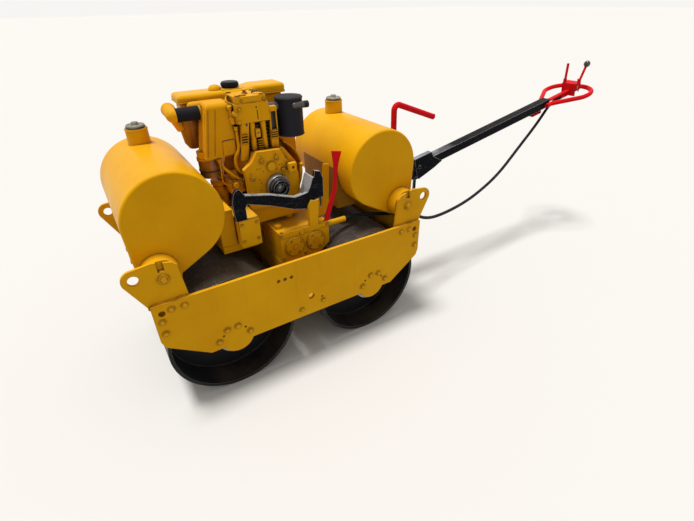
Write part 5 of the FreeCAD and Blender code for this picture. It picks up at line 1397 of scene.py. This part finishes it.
class MakeTopEnd(RollerOperator):
    """Cylinder head, cowl, air cleaner, hose, silencer and fuel tank"""
    bl_idname = "roller.make_top_end"
    bl_label = "Top end"

    def make(self, context):
        self.head()
        self.cowl()
        self.silencer()
        self.fuel_tank()

    def head(self):
        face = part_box("cylinder_head")[1].y
        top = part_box("cylinder_head")[1].z
        slot = block((0.0330, face - 0.006, 0.976), (0.0352, face + 0.002, 1.010), 0.0)
        dressed("cylinder_head", "engine_enamel",
                holes=[((0.036, face, 1.019), (0, -1, 0), 0.0026, 0.008)], cutters=[slot])
        rows = [((x, y, top), (0, 0, 1), 0.0075) for x in (0.006, 0.096) for y in (-0.028, 0.062)]
        rows += [((x, face - 0.006, 1.044), (0, 1, 0), 0.0040) for x in (0.004, 0.086)]
        bolted("head_bolts", rows, "engine_enamel", CHASSIS)
        piece = Piece("head_fittings")
        piece.add(turned([(0, 0), (0.010, 0), (0.010, 0.005), (0.006, 0.007), (0.006, 0.012),
                          (0.0095, 0.013), (0.0095, 0.016), (0, 0.017)], (0.052, 0.020, top - 0.001),
                         (0, 0, 1), 24), "engine_enamel")
        piece.add(swept(flowing([(0.030, 0.030, top + 0.004), (0.020, 0.036, top + 0.008),
                                 (0.010, 0.046, top + 0.009)], 5), 0.0030, 10), "dark_iron")
        piece.add(block((0.062, 0.048, top - 0.001), (0.100, 0.060, top + 0.006), 0.002),
                  "engine_enamel")
        piece.add(swept(flowing([(0.116, 0.052, 1.028), (0.128, 0.040, 1.044),
                                 (0.118, 0.010, 1.050), (0.100, -0.020, 1.048),
                                 (0.092, -0.050, 1.040), (0.090, -0.078, 1.036)], 6), 0.0028, 10),
                  "engine_enamel")
        piece.done(CHASSIS)

    def cowl(self):
        low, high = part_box("cooling_cowl")
        foot = 0.8522

        def bowl(face):
            return 1 if face.calc_center_median().z < foot - 0.0004 else 0

        dressed("cooling_cowl", "engine_enamel", edge=0.003, pick=bowl, more=("oily_enamel",))
        side = high.y
        slant = (0.238 - 0.204) / 0.190
        piece = Piece("cowl_trim")
        for inset, wide in ((0.006, 0.0022), (0.031, 0.0018)):
            corners = [(0.238 - slant * 0.012 - inset - wide, 0.864),
                       (0.238 - slant * 0.012 - inset, 0.864),
                       (0.204 + slant * 0.020 - inset, 1.022),
                       (0.204 + slant * 0.020 - inset - wide, 1.022)]
            piece.add(prism(corners, (side - 0.0005, side + 0.0011), 0.0005), "engine_enamel")
        piece.add(prism([(0.124, 0.861), (0.173, 0.859), (0.169, 0.911), (0.124, 0.913)],
                        (side - 0.0005, side + 0.0020), 0.0016), "engine_enamel")
        piece.add(prism([(0.128, 0.9135), (0.170, 0.9115), (0.170, 0.9140), (0.128, 0.9160)],
                        (side - 0.0002, side + 0.0004), 0.0001), "dark_iron")
        front_top = Vector((0.204, 0, 1.030))
        for y in (low.y + 0.014, high.y - 0.014):
            path = [Vector((0.204 + slant * (1.042 - z) - 0.0002, y, z))
                    for z in (0.866, 0.930, 1.010)]
            piece.add(swept(path, 0.0014, 8), "engine_enamel")
        shoulder = block((0.122, -0.076, 0.984), (0.243, -0.034, 1.037), 0.016, 5)
        piece.add(shoulder, "engine_enamel")
        piece.add(turned([(0.0195, 0), (0.0245, 0), (0.0245, 0.006), (0.0225, 0.008),
                          (0.0195, 0.008), (0.0195, 0)], (0.2085, -0.018, front_top.z - 0.024),
                         (1, 0, 0), 40), "engine_enamel")
        piece.add(turned([(0.0405, 0), (0.0440, 0), (0.0440, 0.007), (0.0405, 0.007),
                          (0.0405, 0)], (0.213, -0.008, 0.842), (0, 0, 1), 48), "engine_enamel")
        piece.add(turned([(0.0405, 0), (0.0432, 0), (0.0432, 0.004), (0.0405, 0.004),
                          (0.0405, 0)], (0.213, -0.008, 0.800), (0, 0, 1), 48), "dark_iron")
        piece.done(CHASSIS)
        rows = [((x, side, z), (0, 1, 0), 0.0036) for x, z in ((0.124, 1.026), (0.150, 0.870))]
        bolted("cowl_bolts", rows, "engine_enamel", CHASSIS)

        def lower(face):
            return 1 if face.calc_center_median().z < 0.940 else 0

        dressed("air_cleaner", "engine_enamel", edge=0.002, pick=lower, more=("oily_enamel",))
        dressed("intake_elbow", "engine_enamel", edge=0.0)
        dressed("intake_hose", "hose_rubber", edge=0.0)
        low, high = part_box("intake_hose")
        middle = (low + high) / 2
        ends = Piece("hose_ends")
        start, end = low.x + 0.006, high.x + 0.016
        cuff = [(0.0196, 0), (0.0226, 0.0010), (0.0238, 0.0034), (0.0238, end - start - 0.004),
                (0.0230, end - start - 0.001), (0.0196, end - start), (0.0196, 0)]
        ends.add(turned(cuff, (start, middle.y, middle.z), (1, 0, 0), 48), "hose_rubber")
        ends.done(CHASSIS)

    def silencer(self):
        spot = Vector((-0.118, 0.020, 0.0))

        def pipe(face):
            middle = face.calc_center_median()
            away = math.hypot(middle.x - spot.x, middle.y - spot.y)
            return 1 if away > 0.0545 else 0

        dressed("silencer", "silencer_coat", edge=0.005, pick=pipe, more=("burnt_steel",))
        low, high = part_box("silencer")
        piece = Piece("silencer_rims")
        for z in (0.8905, 1.0262):
            piece.add(swept(circle((spot.x, spot.y, z), 0.0528, (0, 0, 1), 64), 0.0024, 8, True),
                      "silencer_coat")
        piece.add(turned([(0, 0), (0.044, 0), (0.042, 0.0020), (0.020, 0.0034), (0, 0.0036)],
                         (spot.x, spot.y, high.z - 0.0006), (0, 0, 1), 64), "silencer_coat")
        mouth = (low.x - 0.0004, spot.y + 0.052, 1.004)
        piece.add(turned([(0.0095, 0), (0.0124, 0), (0.0127, 0.002), (0.0127, 0.020),
                          (0.0095, 0.020), (0.0095, 0)], mouth, (1, 0, 0), 32), "silencer_coat")
        # Painted shade: a dark disc just inside the outlet stands for the pipe's shaded inside.
        piece.add(turned([(0, -0.0004), (0.0096, -0.0004), (0.0096, 0.0010), (0, 0.0010)], mouth,
                         (1, 0, 0), 32), "silencer_coat")
        piece.done(CHASSIS)

    def fuel_tank(self):
        low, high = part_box("fuel_tank")
        seam = 1.030
        inset = 0.009
        tank = Piece("fuel_tank_finished")
        tank.add(block((low.x + inset, low.y + inset, low.z), (high.x - inset, high.y - inset,
                                                              seam + 0.002), 0.020, 5),
                 "tank_enamel")
        crown = [(high.x, seam), (high.x, 1.0560), (0.030, 1.0560), (0.000, 1.0585),
                 (-0.034, 1.0640), (low.x, 1.0640), (low.x, seam)]
        lid = prism(crown, (low.y, high.y), 0.0)
        rim = [edge for edge in lid.edges
               if all(vertex.co.z > seam + 0.01 for vertex in edge.verts)
               or abs(edge.verts[0].co.z - edge.verts[1].co.z) > 0.01]
        rim = [edge for edge in rim if edge.calc_face_angle(0) > math.radians(35)]
        bmesh.ops.bevel(lid, geom=rim, offset=0.0145, offset_type="OFFSET", segments=5,
                        affect="EDGES", profile=0.5, clamp_overlap=True)
        tank.add(lid, "tank_enamel")
        path = rounded_path((low.x, low.y), (high.x, high.y), 0.0150, seam + 0.0012)
        tank.add(swept(path, 0.0026, 8, True), "tank_enamel")
        tank.add(turned([(0, 0), (0.024, 0), (0.0235, 0.0060), (0.0200, 0.0130),
                         (0.0130, 0.0175), (0, 0.0195)], (0.113, -0.130, 1.0550), (0, 0, 1), 40),
                 "tank_enamel")
        tank.add(block((0.000, -0.168, 1.0550), (0.098, -0.092, 1.0585), 0.0030, 3),
                 "tank_enamel")
        tank.done(CHASSIS, ["fuel_tank"])
        low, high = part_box("fuel_cap")
        middle = (low + high) / 2
        base = Vector((middle.x, middle.y, low.z))
        cap = Piece("fuel_cap_finished")
        cap.add(turned([(0, 0), (0.026, 0), (0.026, 0.004), (0.0325, 0.007), (0.0330, 0.010),
                        (0.0330, 0.019), (0.0310, 0.0230), (0.0260, 0.0248), (0.0140, 0.0250),
                        (0, 0.0250)], base, (0, 0, 1), 56), "cap_rubber")
        cap.done(CHASSIS, ["fuel_cap"], slot="black_paint")
        rows = []
        for i in range(24):
            a = 2 * math.pi * i / 24
            rows.append((base + Vector((0.0322 * math.cos(a), 0.0322 * math.sin(a), 0.0140)),
                         (math.cos(a), math.sin(a), 0), 1.0))
        rib = block((-0.0050, -0.0022, -0.001), (0.0050, 0.0022, 0.0018), 0.0006)
        repeated("fuel_cap_grips", rows, rib, "cap_rubber", CHASSIS)


class MakeControls(RollerOperator):
    """Gearbox, guard bar, levers and the stored starting crank"""
    bl_idname = "roller.make_controls"
    bl_label = "Gearbox and levers"

    def make(self, context):
        dressed("gearbox", "yellow_enamel")
        piece = Piece("gearbox_fittings")
        face = 0.2150
        rows = []
        for x in (-0.007, -0.103):
            piece.add(swept(circle((x, face, 0.494), 0.0385, (0, 1, 0), 56), 0.0012, 6, True),
                      "engine_enamel")
            piece.add(turned([(0, 0), (0.0130, 0), (0.0120, 0.0020), (0, 0.0024)],
                             (x, face - 0.0002, 0.494), (0, 1, 0), 32), "engine_enamel")
            rows += ring_of((x, face, 0.494), 0.0310, 4, (0, 1, 0), 0.0034, 30)
        wall = 0.2080
        piece.add(turned([(0, 0), (0.0120, 0), (0.0120, 0.0030), (0.0090, 0.0042),
                          (0.0060, 0.0030), (0, 0.0030)], (-0.044, wall - 0.0002, 0.5475),
                         (0, 1, 0), 32), "engine_enamel")
        for x, y in ((0.040, 0.196), (-0.155, 0.196), (0.040, 0.044), (-0.155, 0.044)):
            rows.append(((x, y, 0.562), (0, 0, 1), 0.0050))
        rows += [((x, wall, z), (0, 1, 0), 0.0044)
                 for x, z in ((0.046, 0.552), (-0.160, 0.552), (0.044, 0.446), (-0.158, 0.446),
                              (-0.055, 0.446))]
        piece.add(prism([(-0.166, 0.5395), (0.051, 0.5395), (0.051, 0.5413), (-0.166, 0.5413)],
                        (wall - 0.0004, wall + 0.0009), 0.0003), "engine_enamel")
        piece.done(CHASSIS)
        rows += [((-0.054, 0.065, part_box("gearbox")[0].z + 0.1510), (0, 0, 1), 0.0001)]
        block_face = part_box("mounting_block")[1].y
        rows += [((x, block_face, z), (0, 1, 0), 0.0048)
                 for x, z in ((0.190, 0.640), (0.190, 0.572), (0.133, 0.640), (0.133, 0.572))]
        bolted("gearbox_bolts", rows[:-5] + rows[-4:], "engine_enamel", CHASSIS)

        # Upward faces of the rear slope take the worn finish: bare steel, and a painted highlight
        # where they face the light.
        def bright(face):
            middle = face.calc_center_median()
            return 1 if face.normal.z > 0.2 and middle.x < -0.058 else 0

        dressed("guard_bar", "guard_paint", edge=0.0022, pick=bright, more=("worn_paint",))
        # A pale strip along the top of the bar: a painted highlight, with some wear.
        wear_and_highlight = Piece("guard_tread")
        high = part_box("guard_bar")[1].y
        wear_and_highlight.add(prism([(0.161, 0.7485), (0.143, 0.7446), (0.067, 0.7286), (-0.033, 0.6946),
                         (-0.067, 0.6986), (-0.067, 0.7018), (-0.033, 0.6980), (0.067, 0.7318),
                         (0.143, 0.7478), (0.161, 0.7517)], (high - 0.016, high), 0.0010),
                  "worn_paint")
        wear_and_highlight.done(CHASSIS)
        dressed("shift_lever", "red_paint", edge=0.0015)
        dressed("start_crank", "red_paint", edge=0.0)
        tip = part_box("start_crank")[0].x
        ring = [vertex.co for vertex in nodes["start_crank"].data.vertices
                if vertex.co.x < tip + 0.006]
        middle = sum(ring, Vector()) / len(ring)
        # Painted shade: a dark disc just inside the crank's open tip stands for the tube's shaded
        # inside.
        mouth = Piece("crank_mouth")
        mouth.add(turned([(0, -0.002), (0.0062, -0.002), (0.0062, 0.0005), (0, 0.0005)],
                         (tip, middle.y, middle.z), (-1, 0, -0.25), 24), "dark_iron")
        mouth.done(CHASSIS)


class MakeDrawbar(RollerOperator):
    """Drawbar, its bracket, the handle loop, lever box and hand levers"""
    bl_idname = "roller.make_drawbar"
    bl_label = "Drawbar"

    def make(self, context):
        dressed("drawbar_bracket", "black_paint")
        dressed("drawbar", "drawbar_paint", body=DRAWBAR)
        dressed("handle_loop", "red_paint", edge=0.0, body=DRAWBAR)
        dressed("lever_box", "red_paint", body=DRAWBAR)

        def knob(face):
            return 1 if (face.calc_center_median() - Vector(KNOB)).length < 0.0215 else 0

        dressed("hand_levers", "red_paint", edge=0.0, body=DRAWBAR, pick=knob,
                more=("knob_plastic",))
        rows = []
        for side in (1, -1):
            rows += [(on_bar(-1.235, side * 0.043, 0.013), (0, side, 0), 0.0060),
                     (on_bar(-1.250, side * 0.043, -0.012), (0, side, 0), 0.0042)]
        bolted("lever_box_bolts", rows, "bare_steel", DRAWBAR)
        low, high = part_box("drawbar_bracket")
        pin = []
        for side, y in ((1, high.y), (-1, low.y)):
            pin.append(((PIN.x, y - side * 0.0006, PIN.z), (0, side, 0), 0.0001))
        hole = Piece("drawbar_fittings")
        up = Vector((0.19595, 0, 0.98061))
        hole.add(turned([(0.0050, 0), (0.0095, 0), (0.0090, 0.0014), (0.0050, 0.0014),
                         (0.0050, 0)], on_bar(-0.100, 0.012, 0.0209), up, 28), "worn_paint")
        # Painted shade: a dark disc inside the ring stands for the hole's shaded inside.
        hole.add(turned([(0, 0), (0.0052, 0), (0.0052, 0.0004), (0, 0.0004)],
                        on_bar(-0.100, 0.012, 0.0210), up, 24), "dark_iron")
        hole.done(DRAWBAR, slot="black_paint")
        strap = Piece("cable_strap")
        for low, high in (((-0.958, -0.013, -0.052), (-0.938, 0.013, -0.030)),
                          ((-0.958, -0.013, -0.056), (-0.886, 0.013, -0.044)),
                          ((-0.900, -0.013, -0.052), (-0.886, 0.013, -0.030))):
            bent = block(low, high, 0.0012)
            bmesh.ops.transform(bent, matrix=BAR_TURN, verts=bent.verts)
            strap.add(bent, "red_paint")
        strap.done(DRAWBAR)


PIN = Vector((-0.801, 0.0, 0.6165))
KNOB = (-2.0603, 0.0360, 0.9946)
BAR_TURN = Matrix.Translation(PIN) @ Matrix.Rotation(math.radians(11.3), 4, "Y")


def on_bar(along, across, up):
    """A place given along the drawbar from its pin."""
    return PIN + Vector((along * 0.98061 + up * 0.19595, across,
                         -along * 0.19595 + up * 0.98061))


PLATE_BOLTS = [(0.509, 0.474, 0.0092), (0.466, 0.473, 0.0092), (0.547, 0.434, 0.0092),
               (0.547, 0.385, 0.0092), (0.383, 0.261, 0.0098), (0.346, 0.303, 0.0098),
               (0.305, 0.305, 0.0098), (0.262, 0.262, 0.0098)]


class MakeFasteners(RollerOperator):
    """Bolt heads on the side plates, beams and drums' axles"""
    bl_idname = "roller.make_fasteners"
    bl_label = "Fasteners"

    def make(self, context):
        rows = []
        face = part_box("side_plate_left")[1].y
        for side in (1, -1):
            for way in (1, -1):
                rows += [((way * x, side * face, z), (0, side, 0), radius)
                         for x, z, radius in PLATE_BOLTS]
            rows += [((x, side * face, z), (0, side, 0), 0.0085)
                     for x, z in ((0.038, 0.264), (-0.063, 0.272))]
        for node, way in (("front_beam", 1), ("rear_beam", -1)):
            low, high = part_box(node)
            front = 0.568 * way
            rows += [((front, y, 0.448), (way, 0, 0), 0.0085)
                     for y in (-0.24, -0.12, 0.12, 0.24)]
        bolted("frame_bolts", rows, "yellow_enamel", CHASSIS)


class MakeStage(RollerOperator):
    """Plain pale floor and soft light"""
    bl_idname = "roller.make_stage"
    bl_label = "Stage"

    def make(self, context):
        stage = context.scene.roller_stage
        mesh = bpy.data.meshes.new("floor")
        mesh.from_pydata([(-60, -60, 0), (60, -60, 0), (60, 60, 0), (-60, 60, 0)], [],
                         [(0, 1, 2, 3)])
        floor = bpy.data.objects.new("floor", mesh)
        context.scene.collection.objects.link(floor)
        material = bpy.data.materials.new("floor")
        material.use_nodes = True
        shader = material.node_tree.nodes["Principled BSDF"]
        ground = Tree(material.node_tree)
        pale = self.seen_pale(ground)
        ground.feed(shader.inputs["Base Color"],
                    ground.blend(pale, tuple(v * 0.62 for v in stage.floor), stage.floor))
        shader.inputs["Roughness"].default_value = 0.85
        shader.inputs["Specular IOR Level"].default_value = 0.1
        mesh.materials.append(material)
        world = bpy.data.worlds.new("studio")
        context.scene.world = world
        world.use_nodes = True
        tree = Tree(world.node_tree)
        world.node_tree.nodes.clear()
        seen = self.seen_pale(tree)
        strength = tree.maths("ADD", stage.sky, tree.maths("MULTIPLY", seen, 0.93 - stage.sky))
        sky = tree.add("ShaderNodeBackground", {"Color": (1.0, 0.985, 0.96),
                                                "Strength": strength})
        result = tree.add("ShaderNodeOutputWorld")
        tree.feed(result.inputs["Surface"], sky.outputs["Background"])
        lamp = bpy.data.lights.new("soft_key", "SUN")
        lamp.energy = stage.key
        lamp.angle = math.radians(14)
        key = bpy.data.objects.new("soft_key", lamp)
        key.matrix_world = facing((0.16, -0.10, 1.0))
        context.scene.collection.objects.link(key)
        context.scene.view_settings.view_transform = "Standard"

    def seen_pale(self, tree):
        """1 for the rays that show the background: to the camera, in metal and through glass."""
        path = tree.add("ShaderNodeLightPath")
        seen = tree.maths("ADD", path.outputs["Is Camera Ray"], path.outputs["Is Glossy Ray"],
                          clamp=True)
        return tree.maths("ADD", seen, path.outputs["Is Transmission Ray"], clamp=True)


OPERATORS = [MakeCamera, MakeCable, MakeFrame, MakeDrums, MakeTanks, MakeEngine, MakeTopEnd,
             MakeControls, MakeDrawbar, MakeFasteners, MakeStage]


class RollerPanel(bpy.types.Panel):
    """The roller's steps in the sidebar"""
    bl_idname = "VIEW3D_PT_roller"
    bl_label = "Roller"
    bl_space_type = "VIEW_3D"
    bl_region_type = "UI"
    bl_category = "Roller"

    def draw(self, context):
        for operator in OPERATORS:
            self.layout.operator(operator.bl_idname)
        for group in ("roller_paint", "roller_sizes", "roller_stage"):
            box = self.layout.box()
            settings = getattr(context.scene, group)
            for name in settings.__annotations__:
                box.prop(settings, name)


CLASSES = [RollerPaint, RollerSizes, RollerStage, *OPERATORS, RollerPanel]


def register():
    for each in CLASSES:
        bpy.utils.register_class(each)
    bpy.types.Scene.roller_paint = PointerProperty(type=RollerPaint)
    bpy.types.Scene.roller_sizes = PointerProperty(type=RollerSizes)
    bpy.types.Scene.roller_stage = PointerProperty(type=RollerStage)


def unregister():
    del bpy.types.Scene.roller_paint
    del bpy.types.Scene.roller_sizes
    del bpy.types.Scene.roller_stage
    for each in reversed(CLASSES):
        bpy.utils.unregister_class(each)


def main():
    register()
    for make in (make_dust_effect, make_edge_effect, make_grime_and_shade_effect, make_skin_effect,
                 make_scratch_effect):
        make()
    for operator in OPERATORS:
        group, name = operator.bl_idname.split(".")
        getattr(getattr(bpy.ops, group), name)()


if __name__ == "__main__":
    main()
